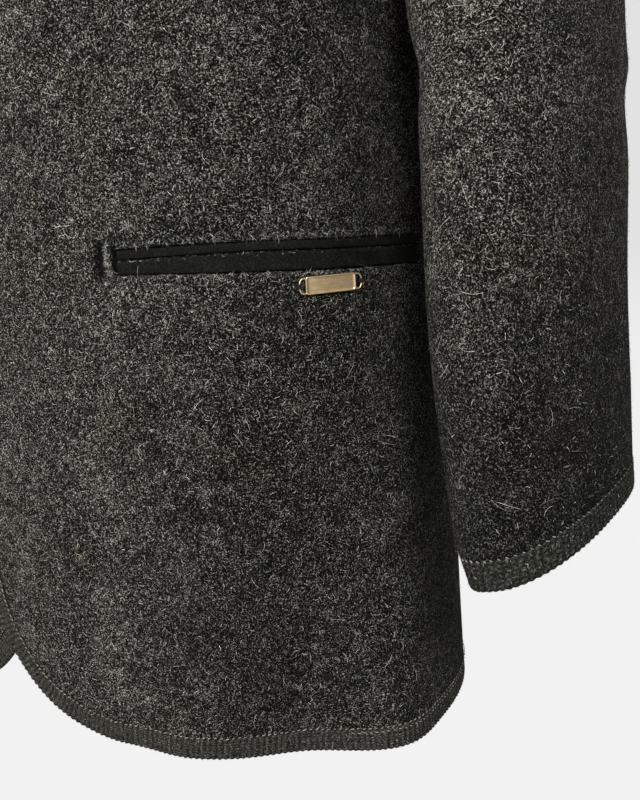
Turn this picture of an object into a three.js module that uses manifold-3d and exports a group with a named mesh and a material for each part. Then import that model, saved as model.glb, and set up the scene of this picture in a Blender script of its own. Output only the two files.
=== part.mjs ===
// Man's boiled-wool jacket in its worn, filled-out form, with nobody in it.
// Millimetres, +Z up. The front faces -Y and the wearer's left side is +X.
// The origin is the middle of the neck opening, level with the shoulder seams' inner ends.
import * as THREE from "three";
import Module from "manifold-3d";
import { mergeVertices } from "three/addons/utils/BufferGeometryUtils.js";

const DEGREE = Math.PI / 180;

// Driving dimensions
const BODY_LENGTH = 740;
const WOOL = 2.8;
const SEAM_GAP = 0.3;
const FRONT_NECK_DROP = 80;
const BACK_NECK_DROP = 8;
const NECK_DROP_REACH = 290;
const UNDERARM_LEVEL = -240;
const SHOULDER_LEVEL = -66;
const FRONT_NOTCH = 24 * DEGREE;
const BACK_NOTCH = 21 * DEGREE;
const SIDE_SEAM_TURN = 15 * DEGREE;
const SIDE_SEAM_TURNED_LEVEL = -520;
const OVERLAP = 18;
const OVERLAP_LIFT = WOOL + 0.5;
const CORNER_RADIUS = 96;
const BAND_WIDTH = 13;
const BAND = 3.0;
const CUFF_BAND_WIDTH = 14;
const CUFF_LEVEL = -613;
const BICEP_LEVEL = -275;
const ARMHOLE_STEPS = 16;
const COLLAR_HEIGHT = 42;
const COLLAR_HALF_OPENING = 4;
const COLLAR_LEAN = 0.16;

// The collar's front corners turn back over this stretch of its height, by this angle
const COLLAR_CORNER = { from: 26, to: 46, turn: 0.16 };

// The left front's lift over the right one fades out between these distances from the centre
const LIFT_FADE = { from: 23, to: 83 };

// How the sleeve's cap leaves the armhole and arrives at the upper arm, and where its normals blend
const CAP = {
  outTop: 0.62, outUnder: 0.65, forward: 0.25, down: 0.8,
  leaveLength: 1.05, arriveLength: 1.2, normalBlend: 0.3,
};

// Body rings, neck to hem: half width, the Y where a ring is widest, its front and back, and how square it is
const RINGS = [
  { level: 0, halfWidth: 74, yWide: 0, yFront: -64, yBack: 56, power: 2.0 },
  { level: -18, halfWidth: 115, yWide: 0, yFront: -78, yBack: 78, power: 2.0 },
  { level: -38, halfWidth: 165, yWide: 0, yFront: -91, yBack: 96, power: 2.1 },
  { level: -66, halfWidth: 226, yWide: 2, yFront: -105, yBack: 112, power: 2.2 },
  { level: -85, halfWidth: 236, yWide: 3, yFront: -112, yBack: 117, power: 2.3 },
  { level: -110, halfWidth: 236, yWide: 3, yFront: -120, yBack: 121, power: 2.35 },
  { level: -160, halfWidth: 222, yWide: 0, yFront: -133, yBack: 124, power: 2.4 },
  { level: -200, halfWidth: 206, yWide: -5, yFront: -141, yBack: 123, power: 2.4 },
  { level: -240, halfWidth: 197, yWide: -10, yFront: -146, yBack: 120, power: 2.4 },
  { level: -340, halfWidth: 194, yWide: -18, yFront: -149, yBack: 114, power: 2.35 },
  { level: -440, halfWidth: 194, yWide: -22, yFront: -149, yBack: 112, power: 2.35 },
  { level: -540, halfWidth: 200, yWide: -30, yFront: -152, yBack: 120, power: 2.3 },
  { level: -640, halfWidth: 207, yWide: -40, yFront: -156, yBack: 122, power: 2.2 },
  { level: -BODY_LENGTH, halfWidth: 217, yWide: -50, yFront: -158, yBack: 124, power: 2.15 },
];

// Sleeve sections: centre, half axes front to back and side to side, turn of the front end, slopes of the rim
const SLEEVE = [
  { level: -275, x: 246, y: 0, long: 72.8, short: 44.8, turn: 0, riseOut: 0.12, riseFront: 0.1 },
  { level: -340, x: 244, y: -6, long: 70.8, short: 42.3, turn: 2, riseOut: 0.12, riseFront: 0.08 },
  { level: -400, x: 253, y: -16, long: 68.8, short: 39.8, turn: 3, riseOut: 0.14, riseFront: 0.05 },
  { level: -510, x: 265, y: -36, long: 64.8, short: 35.8, turn: 4, riseOut: 0.22, riseFront: -0.06 },
  { level: -613, x: 281, y: -48, long: 59.8, short: 32.8, turn: 3, riseOut: 0.3, riseFront: -0.15 },
];
const SLEEVE_POWER = 2.4;
const FRONT_SEAM = 0.34;
const BACK_SEAM = -0.3;

// Soft vertical folds: middle and half width in degrees from the front, depth, and level of the top
const FOLDS = [
  { at: 50, width: 7, depth: 3, top: -540 },
  { at: 70, width: 10, depth: -14, top: -440 },
  { at: 84, width: 5, depth: 3, top: -500 },
  { at: 118, width: 9, depth: -6, top: -470 },
  { at: 140, width: 9, depth: 5, top: -430 },
  { at: 162, width: 8, depth: -4, top: -500 },
];

// Pocket: distance of its front end from the centre front, length round the body, and heights of its welts
const POCKET = {
  start: 93, length: 172, level: -475, upper: 6.4, lower: 7.8,
  slit: 0.4, recess: 0.7, thickness: 2.2, columns: 13,
};
const POCKET_BAG = { depth: 120, thickness: 2.2, margin: 9, gap: 1.7 };

const BUTTONS = { count: 5, radius: 10.5, thickness: 4.2, top: -168, bottom: -540 };

// The label's plate, its raised rim, the open loops at its ends, and its place from the pocket's front end
const LABEL = {
  length: 34, height: 8.6, thickness: 1.1, corner: 3.6, rim: 0.5, rimWidth: 0.7, rimCorner: 1.2,
  loop: 4.2, loopTaper: 0.45, wire: 1.1, along: 108, below: 5.8, clearance: 0.5,
};

const WOOL_COLOUR = 0x33312c;
const KNIT_COLOUR = 0x2e2e29;
const WELT_COLOUR = 0x14140f;
const BRASS_COLOUR = 0xa58a5c;
const HORN_COLOUR = 0x241c14;

// Steps used to measure a surface's slope, in radians or shares and in millimetres
const TURN_STEP = 0.002;
const LEVEL_STEP = 0.5;
const LENGTH_STEPS = 400;

const wasm = await Module();
wasm.setup();

// A smooth curve through (x, y) pairs that never overshoots them
function smoothCurve(xs, ys) {
  const count = xs.length;
  const slopes = [];
  for (let i = 0; i < count - 1; i++) {
    slopes.push((ys[i + 1] - ys[i]) / (xs[i + 1] - xs[i]));
  }
  const tangents = [slopes[0]];
  for (let i = 1; i < count - 1; i++) {
    const before = xs[i] - xs[i - 1];
    const after = xs[i + 1] - xs[i];
    if (slopes[i - 1] * slopes[i] <= 0) {
      tangents.push(0);
    } else {
      const w1 = 2 * after + before;
      const w2 = after + 2 * before;
      tangents.push((w1 + w2) / (w1 / slopes[i - 1] + w2 / slopes[i]));
    }
  }
  tangents.push(slopes[count - 2]);
  return (x) => {
    let i = 0;
    while (i < count - 2 && x > xs[i + 1]) {
      i++;
    }
    const span = xs[i + 1] - xs[i];
    const t = (x - xs[i]) / span;
    const rise = (3 - 2 * t) * t * t;
    return (1 - rise) * ys[i] + rise * ys[i + 1]
      + span * t * (1 - t) * ((1 - t) * tangents[i] - t * tangents[i + 1]);
  };
}

// A table's columns as smooth curves of its level
function curvesOf(table) {
  const rows = [...table].reverse();
  const levels = rows.map((row) => row.level);
  const curves = {};
  for (const column of Object.keys(rows[0])) {
    curves[column] = smoothCurve(levels, rows.map((row) => row[column]));
  }
  return curves;
}

const ring = curvesOf(RINGS);
const section = curvesOf(SLEEVE);

function smoothStep(from, to, value) {
  const t = Math.min(1, Math.max(0, (value - from) / (to - from)));
  return t * t * (3 - 2 * t);
}

// How far the middle of the front or back lies below the side at one level
function neckDrop(level, drop) {
  if (level < -NECK_DROP_REACH) {
    return 0;
  }
  return drop * 0.5 * (1 + Math.cos((Math.PI * level) / NECK_DROP_REACH));
}

// The smooth body form at a compass angle from the front and a level
function bodyForm(angle, level) {
  const sine = Math.sin(angle);
  const cosine = Math.cos(angle);
  const wide = ring.yWide(level);
  const depth = cosine > 0 ? wide - ring.yFront(level) : ring.yBack(level) - wide;
  const power = ring.power(level);
  const reach = Math.abs(sine / ring.halfWidth(level)) ** power + Math.abs(cosine / depth) ** power;
  const radius = reach ** (-1 / power);
  const drop = neckDrop(level, cosine > 0 ? FRONT_NECK_DROP : BACK_NECK_DROP);
  return new THREE.Vector3(radius * sine, wide - radius * cosine, level - drop * cosine * cosine);
}

// The unit normal of a surface given as a function of two numbers
function normalOf(surface, u, v, stepU, stepV) {
  const alongU = surface(u + stepU, v).sub(surface(u - stepU, v));
  const alongV = surface(u, v + stepV).sub(surface(u, v - stepV));
  return alongU.cross(alongV).normalize();
}

function foldDepth(angle, level) {
  const degrees = Math.abs(angle) / DEGREE;
  let depth = 0;
  for (const fold of FOLDS) {
    const across = (degrees - fold.at) / fold.width;
    depth += fold.depth * Math.exp(-across * across) * smoothStep(fold.top, -BODY_LENGTH, level);
  }
  return depth;
}

// A point of the body with its folds, moved out along the surface's normal
function bodyPoint(angle, level, out) {
  const normal = normalOf(bodyForm, angle, level, TURN_STEP, LEVEL_STEP);
  return bodyForm(angle, level).addScaledVector(normal, foldDepth(angle, level) + out);
}

// The compass angle of a point at one distance from the centre line, on the front half
function angleAt(x, level) {
  const wide = ring.yWide(level);
  const depth = wide - ring.yFront(level);
  const power = ring.power(level);
  const share = Math.min(0.999, Math.abs(x) / ring.halfWidth(level));
  return Math.atan2(x, depth * (1 - share ** power) ** (1 / power));
}

// The left front lies over the right one along the centre
const LEFT = { name: "left", sign: 1, lift: OVERLAP_LIFT };
const RIGHT = { name: "right", sign: -1, lift: 0 };

function mirrored(point, side) {
  point.x *= side.sign;
  return point;
}

function frontPoint(side, angle, level, out) {
  const x = bodyForm(angle, level).x;
  const lift = side.lift * (1 - smoothStep(LIFT_FADE.from, LIFT_FADE.to, x));
  return mirrored(bodyPoint(angle, level, out + lift), side);
}

// A closed wall from its outer and inner points, in rows; a ring's columns close on themselves
function wall(rows, columns, pointAt, thickness, isRing = false) {
  const positions = [];
  for (const out of [0, -thickness]) {
    for (let i = 0; i < rows; i++) {
      for (let j = 0; j < columns; j++) {
        positions.push(...pointAt(i, j, out).toArray());
      }
    }
  }
  const back = rows * columns;
  const index = [];
  const quad = (a, b, c, d) => index.push(a, b, c, a, c, d);
  const lastColumn = isRing ? columns : columns - 1;
  for (let i = 0; i < rows - 1; i++) {
    for (let j = 0; j < lastColumn; j++) {
      const next = (j + 1) % columns;
      const a = i * columns + j;
      const b = i * columns + next;
      quad(a, b, b + columns, a + columns);
      quad(back + a, back + a + columns, back + b + columns, back + b);
    }
    if (!isRing) {
      const first = i * columns;
      const last = first + columns - 1;
      quad(first, first + columns, back + first + columns, back + first);
      quad(last, back + last, back + last + columns, last + columns);
    }
  }
  for (let j = 0; j < lastColumn; j++) {
    const next = (j + 1) % columns;
    const top = (rows - 1) * columns;
    quad(j, back + j, back + next, next);
    quad(top + j, top + next, back + top + next, back + top + j);
  }
  return closedGeometry(positions, index);
}

// Turns the faces outwards where a mirrored wall has them inwards
function closedGeometry(positions, index) {
  let volume = 0;
  for (let i = 0; i < index.length; i += 3) {
    const [a, b, c] = [0, 1, 2].map((k) => new THREE.Vector3().fromArray(positions, 3 * index[i + k]));
    volume += a.dot(b.cross(c));
  }
  if (volume < 0) {
    index.reverse();
  }
  const geometry = new THREE.BufferGeometry();
  geometry.setAttribute("position", new THREE.Float32BufferAttribute(positions, 3));
  geometry.setIndex(index);
  return geometry;
}

function toSolid(geometry) {
  const bare = geometry.clone();
  bare.deleteAttribute("normal");
  bare.deleteAttribute("uv");
  const merged = mergeVertices(bare, 1e-4);
  const mesh = new wasm.Mesh({
    numProp: 3,
    vertProperties: new Float32Array(merged.attributes.position.array),
    triVerts: new Uint32Array(merged.index.array),
  });
  return new wasm.Manifold(mesh);
}

function toGeometry(solid) {
  const mesh = solid.getMesh();
  const geometry = new THREE.BufferGeometry();
  geometry.setAttribute("position", new THREE.Float32BufferAttribute(mesh.vertProperties, mesh.numProp));
  geometry.setIndex(new THREE.Uint32BufferAttribute(mesh.triVerts, 1));
  return geometry;
}

const jacket = new THREE.Group();

function addPiece(name, geometry, colour, roughness = 0.95, metalness = 0) {
  geometry.computeVertexNormals();
  const material = new THREE.MeshStandardMaterial({ color: colour, roughness, metalness });
  const mesh = new THREE.Mesh(geometry, material);
  mesh.name = name;
  jacket.add(mesh);
  return mesh;
}

function blend(from, to, t) {
  return from + (to - from) * t;
}

function evenly(from, to, count) {
  return Array.from({ length: count }, (_, i) => blend(from, to, i / (count - 1)));
}

// Levels from the hem to the neck, closer together where an outline turns
function panelLevels(bottom) {
  const lowest = -BODY_LENGTH + bottom;
  const cornerTop = -BODY_LENGTH + CORNER_RADIUS;
  const levels = [];
  for (const t of evenly(0, 1, 6)) {
    levels.push(blend(lowest, cornerTop, 1 - Math.cos((t * Math.PI) / 2)));
  }
  levels.push(...evenly(cornerTop, UNDERARM_LEVEL, 9).slice(1, -1));
  for (const t of evenly(0, 1, ARMHOLE_STEPS / 2 + 1)) {
    levels.push(blend(UNDERARM_LEVEL, SHOULDER_LEVEL, (1 - Math.cos(t * Math.PI)) / 2));
  }
  levels.push(...evenly(SHOULDER_LEVEL, 0, 5).slice(1));
  return levels;
}

// The armhole, from the shoulder (0) down the front to the underarm (0.5) and up the back to 1
function armholeAngle(share) {
  const sine = Math.sin(2 * Math.PI * share);
  return Math.PI / 2 - (sine > 0 ? FRONT_NOTCH : BACK_NOTCH) * sine;
}

function armholeLevel(share) {
  return blend(SHOULDER_LEVEL, UNDERARM_LEVEL, (1 - Math.cos(2 * Math.PI * share)) / 2);
}

// A point of the panels' armhole edge, which is straight between its steps
function armholePoint(share) {
  const step = Math.floor(share * ARMHOLE_STEPS);
  const [from, to] = [step, step + 1].map((k) => {
    return bodyForm(armholeAngle(k / ARMHOLE_STEPS), armholeLevel(k / ARMHOLE_STEPS));
  });
  return from.lerp(to, share * ARMHOLE_STEPS - step);
}

// How far the armhole cuts into a panel at one level, as a share of its notch
function armholeCut(level) {
  if (level <= UNDERARM_LEVEL || level >= SHOULDER_LEVEL) {
    return 0;
  }
  const t = (level - UNDERARM_LEVEL) / (SHOULDER_LEVEL - UNDERARM_LEVEL);
  return 2 * Math.sqrt(t * (1 - t));
}

// The side seam runs from the underarm back a little towards the hem
function sideAngle(level) {
  return Math.PI / 2 + SIDE_SEAM_TURN * (1 - smoothStep(SIDE_SEAM_TURNED_LEVEL, UNDERARM_LEVEL, level));
}

// The small angle that leaves half a seam's gap at the side
function seamAngle(level) {
  return SEAM_GAP / 2 / ring.halfWidth(level);
}

// The front edge's distance from the centre line at one level, inset from the finished outline
function frontEdge(level, inset) {
  const radius = CORNER_RADIUS - inset;
  const above = level + BODY_LENGTH - inset;
  const edge = -OVERLAP + inset;
  if (above >= radius) {
    return edge;
  }
  const down = radius - Math.max(0, above);
  return edge + radius - Math.sqrt(radius * radius - down * down);
}

function frontPanel(side) {
  const inset = BAND_WIDTH + SEAM_GAP;
  const levels = panelLevels(inset);
  const columns = 15;
  const pointAt = (i, j, out) => {
    const level = levels[i];
    const from = angleAt(frontEdge(level, inset), level);
    const to = sideAngle(level) - FRONT_NOTCH * armholeCut(level) - seamAngle(level);
    return frontPoint(side, blend(from, to, j / (columns - 1)), level, out);
  };
  return wall(levels.length, columns, pointAt, WOOL);
}

function backPanel() {
  const inset = BAND_WIDTH + SEAM_GAP;
  const levels = panelLevels(inset);
  const columns = 22;
  const pointAt = (i, j, out) => {
    const level = levels[i];
    const from = sideAngle(level) + BACK_NOTCH * armholeCut(level) + seamAngle(level);
    const angle = blend(from, 2 * Math.PI - from, j / (columns - 1));
    const point = bodyPoint(angle > Math.PI ? 2 * Math.PI - angle : angle, level, out);
    if (angle > Math.PI) {
      point.x *= -1;
    }
    return point;
  };
  return wall(levels.length, columns, pointAt, WOOL);
}

// Path of the front's finished edge as stations: straight down, round the corner, along the hem to the side
function frontBand(side) {
  const stations = [];
  const straight = panelLevels(BAND_WIDTH).filter((level) => level > -BODY_LENGTH + CORNER_RADIUS - 1);
  for (const level of straight.reverse()) {
    stations.push((across) => [angleAt(-OVERLAP + across, level), level]);
  }
  for (const turn of evenly(0, Math.PI / 2, 13).slice(1)) {
    stations.push((across) => {
      const radius = CORNER_RADIUS - across;
      const level = -BODY_LENGTH + CORNER_RADIUS - radius * Math.sin(turn);
      const x = -OVERLAP + CORNER_RADIUS - radius * Math.cos(turn);
      return [angleAt(x, level), level];
    });
  }
  const lowest = -BODY_LENGTH;
  const hemStart = angleAt(-OVERLAP + CORNER_RADIUS, lowest);
  for (const t of evenly(0, 1, 13).slice(1)) {
    stations.push((across) => {
      const level = lowest + across;
      return [blend(hemStart, sideAngle(level) - seamAngle(level), t), level];
    });
  }
  const across = [0, BAND_WIDTH / 2, BAND_WIDTH];
  const pointAt = (i, j, out) => {
    const [angle, level] = stations[i](across[j]);
    return frontPoint(side, angle, level, out);
  };
  return wall(stations.length, across.length, pointAt, BAND);
}

function backBand() {
  const columns = 25;
  const levels = [-BODY_LENGTH, -BODY_LENGTH + BAND_WIDTH / 2, -BODY_LENGTH + BAND_WIDTH];
  const pointAt = (i, j, out) => {
    const from = sideAngle(levels[i]) + seamAngle(levels[i]);
    const angle = blend(from, 2 * Math.PI - from, j / (columns - 1));
    const point = bodyPoint(angle > Math.PI ? 2 * Math.PI - angle : angle, levels[i], out);
    if (angle > Math.PI) {
      point.x *= -1;
    }
    return point;
  };
  return wall(levels.length, columns, pointAt, BAND);
}

// A sleeve section's point; round is 0 outside, 0.25 at the front, 0.5 by the body and 0.75 at the back
function sectionPoint(round, level) {
  const cosine = Math.cos(2 * Math.PI * round);
  const sine = Math.sin(2 * Math.PI * round);
  const power = 2 / SLEEVE_POWER;
  const outward = section.short(level) * Math.sign(cosine) * Math.abs(cosine) ** power;
  const forward = section.long(level) * Math.sign(sine) * Math.abs(sine) ** power;
  const turn = section.turn(level) * DEGREE;
  return new THREE.Vector3(
    section.x(level) + outward * Math.cos(turn) - forward * Math.sin(turn),
    section.y(level) - outward * Math.sin(turn) - forward * Math.cos(turn),
    level + section.riseOut(level) * outward + section.riseFront(level) * forward,
  );
}

// The sleeve's outer surface, from the armhole at the shoulder level down to the cuff
function sleeveForm(round, level) {
  if (level <= BICEP_LEVEL) {
    return sectionPoint(round, level);
  }
  const span = SHOULDER_LEVEL - BICEP_LEVEL;
  const t = (SHOULDER_LEVEL - level) / span;
  const share = ((round % 1) + 1) % 1;
  const start = armholePoint(share);
  start.x += SEAM_GAP;
  const end = sectionPoint(round, BICEP_LEVEL);
  const low = (1 - Math.cos(2 * Math.PI * share)) / 2;
  const leave = new THREE.Vector3(
    blend(CAP.outTop, CAP.outUnder, low),
    -CAP.forward * Math.sin(2 * Math.PI * share),
    -CAP.down,
  ).normalize().multiplyScalar(start.distanceTo(end) * CAP.leaveLength);
  const below = 5;
  const arrive = sectionPoint(round, BICEP_LEVEL - below).sub(end).multiplyScalar(span / below);
  arrive.setLength(Math.min(arrive.length(), start.distanceTo(end) * CAP.arriveLength));
  const t2 = t * t;
  const t3 = t2 * t;
  return start.multiplyScalar(2 * t3 - 3 * t2 + 1)
    .addScaledVector(leave, t3 - 2 * t2 + t)
    .addScaledVector(end, 3 * t2 - 2 * t3)
    .addScaledVector(arrive, t3 - t2);
}

function sleevePoint(side, round, level, out) {
  const rise = level > CUFF_LEVEL + 1 ? LEVEL_STEP : LEVEL_STEP / 2;
  const highest = SHOULDER_LEVEL - 1.2 * LEVEL_STEP;
  const normal = normalOf(sleeveForm, round, Math.min(level, highest), TURN_STEP, rise).negate();
  const radial = new THREE.Vector3(0, -Math.sin(2 * Math.PI * round), Math.cos(2 * Math.PI * round));
  const down = (SHOULDER_LEVEL - level) / (SHOULDER_LEVEL - BICEP_LEVEL);
  const own = smoothStep(0, CAP.normalBlend, down);
  normal.multiplyScalar(own).addScaledVector(radial, 1 - own).normalize();
  return mirrored(sleeveForm(round, level).addScaledVector(normal, out), side);
}

function sleevePiece(side, from, to, columns) {
  const levels = [
    ...evenly(SHOULDER_LEVEL, BICEP_LEVEL, 8),
    ...evenly(BICEP_LEVEL, CUFF_LEVEL + CUFF_BAND_WIDTH + SEAM_GAP, 9).slice(1),
  ];
  const pointAt = (i, j, out) => {
    const gap = SEAM_GAP / (2 * Math.PI * section.short(Math.min(levels[i], BICEP_LEVEL)));
    return sleevePoint(side, blend(from + gap, to - gap, j / (columns - 1)), levels[i], out);
  };
  return wall(levels.length, columns, pointAt, WOOL);
}

function cuffBand(side) {
  const columns = 28;
  const levels = [CUFF_LEVEL, CUFF_LEVEL + CUFF_BAND_WIDTH / 2, CUFF_LEVEL + CUFF_BAND_WIDTH];
  const pointAt = (i, j, out) => sleevePoint(side, j / columns, levels[i], out);
  return wall(levels.length, columns, pointAt, BAND, true);
}

// A stand-up collar that leans in over the neck ring; the band is its top edge
function collarPoint(angle, height, out) {
  const shown = angle > Math.PI ? 2 * Math.PI - angle : angle;
  const base = bodyForm(shown, 0);
  const outward = new THREE.Vector3(base.x, base.y, 0).normalize();
  base.addScaledVector(outward, out - COLLAR_LEAN * height);
  base.z += height;
  if (angle > Math.PI) {
    base.x *= -1;
  }
  return base;
}

function collarStrip(low, high, rows, thickness) {
  const columns = 33;
  const heights = evenly(low, high, rows);
  const start = angleAt(COLLAR_HALF_OPENING, 0);
  const pointAt = (i, j, out) => {
    const corner = smoothStep(COLLAR_CORNER.from, COLLAR_CORNER.to, heights[i]) * COLLAR_CORNER.turn;
    const angle = blend(start + corner, 2 * Math.PI - start - corner, j / (columns - 1));
    return collarPoint(angle, heights[i], out);
  };
  return wall(rows, columns, pointAt, thickness);
}

// Angles of the body at equal steps of real length along one level, from one distance to another
function anglesAlong(level, from, to, count) {
  const angles = [];
  const start = angleAt(0, level);
  const step = Math.PI / 2 / LENGTH_STEPS;
  const lengths = [0];
  let before = bodyForm(start, level);
  for (let i = 1; i <= LENGTH_STEPS; i++) {
    const point = bodyForm(start + i * step, level);
    lengths.push(lengths[i - 1] + point.distanceTo(before));
    before = point;
  }
  for (const length of evenly(from, to, count)) {
    let i = 1;
    while (i < LENGTH_STEPS && lengths[i] < length) {
      i++;
    }
    const part = (length - lengths[i - 1]) / (lengths[i] - lengths[i - 1]);
    angles.push(start + (i - 1 + part) * step);
  }
  return angles;
}

// A strip of the front that follows its surface over a stretch of length and of level
function frontStrip(side, stretch, heights, out, thickness, columns) {
  const angles = anglesAlong(POCKET.level, stretch.from, stretch.to, columns);
  const pointAt = (i, j, depth) => frontPoint(side, angles[j], heights[i], out + depth);
  return wall(heights.length, columns, pointAt, thickness);
}

function pocketWindow(side) {
  const stretch = { from: POCKET.start, to: POCKET.start + POCKET.length };
  const heights = evenly(POCKET.level - POCKET.lower, POCKET.level + POCKET.upper, 2);
  const over = 6;
  return toSolid(frontStrip(side, stretch, heights, over, 2 * over + WOOL, POCKET.columns));
}

function welt(side, low, high) {
  const stretch = { from: POCKET.start + SEAM_GAP, to: POCKET.start + POCKET.length - SEAM_GAP };
  const heights = evenly(low, high, 3);
  return frontStrip(side, stretch, heights, -POCKET.recess, POCKET.thickness, POCKET.columns);
}

function pocketBag(side) {
  const { margin } = POCKET_BAG;
  const stretch = { from: POCKET.start - margin, to: POCKET.start + POCKET.length + margin };
  const top = POCKET.level + POCKET.upper + margin;
  const heights = evenly(top - POCKET_BAG.depth, top, 6);
  const inward = -(Math.max(WOOL, POCKET.recess + POCKET.thickness) + POCKET_BAG.gap);
  return frontStrip(side, stretch, heights, inward, POCKET_BAG.thickness, 17);
}

// A matrix that seats a flat piece's back on the left front, its X axis round the body and its Y axis up
function seatOn(side, angle, level, out) {
  const turn = 0.01;
  const rise = 2;
  const at = (a, l) => frontPoint(side, a, l, 0);
  const normal = normalOf(at, angle, level, turn, rise).multiplyScalar(side.sign);
  const round = at(angle + turn, level).sub(at(angle - turn, level)).multiplyScalar(side.sign).normalize();
  const up = normal.clone().cross(round).normalize();
  const matrix = new THREE.Matrix4().makeBasis(round, up, normal);
  return matrix.setPosition(at(angle, level).addScaledVector(normal, out));
}

// The level at which the centre front reaches one height
function frontLevel(height) {
  let low = -BODY_LENGTH;
  let high = 0;
  const halvings = 40;
  for (let i = 0; i < halvings; i++) {
    const middle = (low + high) / 2;
    if (middle - neckDrop(middle, FRONT_NECK_DROP) < height) {
      low = middle;
    } else {
      high = middle;
    }
  }
  return low;
}

function button() {
  const { radius, thickness } = BUTTONS;
  const profile = [
    [0, 0], [0.8, 0], [1, 0.35], [1, 0.7], [0.9, 1], [0.72, 0.92], [0.45, 0.6], [0, 0.55],
  ].map(([x, y]) => new THREE.Vector2(x * radius, y * thickness));
  const geometry = new THREE.LatheGeometry(profile, 16);
  return geometry.rotateX(Math.PI / 2);
}

function roundedRectangle(length, height, radius, asHole = false) {
  const outline = asHole ? new THREE.Path() : new THREE.Shape();
  const [x, y] = [length / 2, height / 2];
  outline.moveTo(-x + radius, -y);
  outline.lineTo(x - radius, -y);
  outline.absarc(x - radius, -y + radius, radius, -Math.PI / 2, 0);
  outline.lineTo(x, y - radius);
  outline.absarc(x - radius, y - radius, radius, 0, Math.PI / 2);
  outline.lineTo(-x + radius, y);
  outline.absarc(-x + radius, y - radius, radius, Math.PI / 2, Math.PI);
  outline.lineTo(-x, -y + radius);
  outline.absarc(-x + radius, -y + radius, radius, Math.PI, 1.5 * Math.PI);
  return outline;
}

// A small plate with a raised rim and a loop at each end for its stitches
function label() {
  const { length, height, thickness, corner, rim, rimWidth, rimCorner, loop, loopTaper, wire } = LABEL;
  const outline = roundedRectangle(length, height, corner);
  for (const sign of [-1, 1]) {
    const middle = sign * (length / 2 - wire - loop / 2);
    const half = height / 2 - wire;
    const hole = new THREE.Path();
    const left = half * (sign > 0 ? 1 : loopTaper);
    const right = half * (sign > 0 ? loopTaper : 1);
    hole.moveTo(middle - loop / 2, -left);
    hole.lineTo(middle + loop / 2, -right);
    hole.lineTo(middle + loop / 2, right);
    hole.lineTo(middle - loop / 2, left);
    hole.closePath();
    outline.holes.push(hole);
  }
  const options = { bevelEnabled: false, curveSegments: 4 };
  const raise = (shape, depth) => new THREE.ExtrudeGeometry(shape, { ...options, depth });
  const inner = length - 2 * (wire + loop);
  const border = roundedRectangle(inner, height, rimCorner);
  const [innerLength, innerHeight] = [inner - 2 * rimWidth, height - 2 * rimWidth];
  border.holes.push(roundedRectangle(innerLength, innerHeight, rimCorner - rimWidth / 2, true));
  const ridge = raise(border, thickness / 2 + rim).translate(0, 0, thickness / 2);
  return toGeometry(toSolid(raise(outline, thickness)).add(toSolid(ridge)));
}

for (const side of [LEFT, RIGHT]) {
  const panel = toSolid(frontPanel(side)).subtract(pocketWindow(side));
  addPiece(`front_${side.name}`, toGeometry(panel), WOOL_COLOUR);
  addPiece(`front_band_${side.name}`, frontBand(side), KNIT_COLOUR);
  addPiece(`sleeve_upper_${side.name}`, sleevePiece(side, BACK_SEAM, FRONT_SEAM, 15), WOOL_COLOUR);
  addPiece(`sleeve_under_${side.name}`, sleevePiece(side, FRONT_SEAM, 1 + BACK_SEAM, 9), WOOL_COLOUR);
  addPiece(`cuff_band_${side.name}`, cuffBand(side), KNIT_COLOUR);
  const { level, slit, upper, lower } = POCKET;
  addPiece(`welt_upper_${side.name}`, welt(side, level + slit / 2, level + upper - SEAM_GAP), WELT_COLOUR);
  addPiece(`welt_lower_${side.name}`, welt(side, level - lower + SEAM_GAP, level - slit / 2), WELT_COLOUR);
  addPiece(`pocket_bag_${side.name}`, pocketBag(side), WELT_COLOUR);
}
addPiece("back", backPanel(), WOOL_COLOUR);
addPiece("back_band", backBand(), KNIT_COLOUR);
addPiece("collar", collarStrip(SEAM_GAP, COLLAR_HEIGHT - BAND_WIDTH - SEAM_GAP, 4, WOOL), WOOL_COLOUR);
addPiece("collar_band", collarStrip(COLLAR_HEIGHT - BAND_WIDTH, COLLAR_HEIGHT, 3, BAND), KNIT_COLOUR);

for (let i = 0; i < BUTTONS.count; i++) {
  const level = frontLevel(blend(BUTTONS.top, BUTTONS.bottom, i / (BUTTONS.count - 1)));
  const mesh = addPiece(`button_${i + 1}`, button(), HORN_COLOUR, 0.4);
  seatOn(LEFT, angleAt(0, level), level, SEAM_GAP).decompose(mesh.position, mesh.quaternion, mesh.scale);
}

const [labelAngle] = anglesAlong(POCKET.level, POCKET.start + LABEL.along, POCKET.start + LABEL.along, 2);
const labelLevel = POCKET.level - POCKET.lower - LABEL.below;
const labelMesh = addPiece("metal_label", label(), BRASS_COLOUR, 0.35, 0.9);
seatOn(LEFT, labelAngle, labelLevel, LABEL.clearance)
  .decompose(labelMesh.position, labelMesh.quaternion, labelMesh.scale);

export default jacket;
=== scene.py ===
"""Looks of a man's boiled-wool jacket in its worn form, built around its solids.

Lengths in the tables are millimetres; meshes are made in metres. The front faces -Y and the wearer's left is +X.
"""

import math

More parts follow.
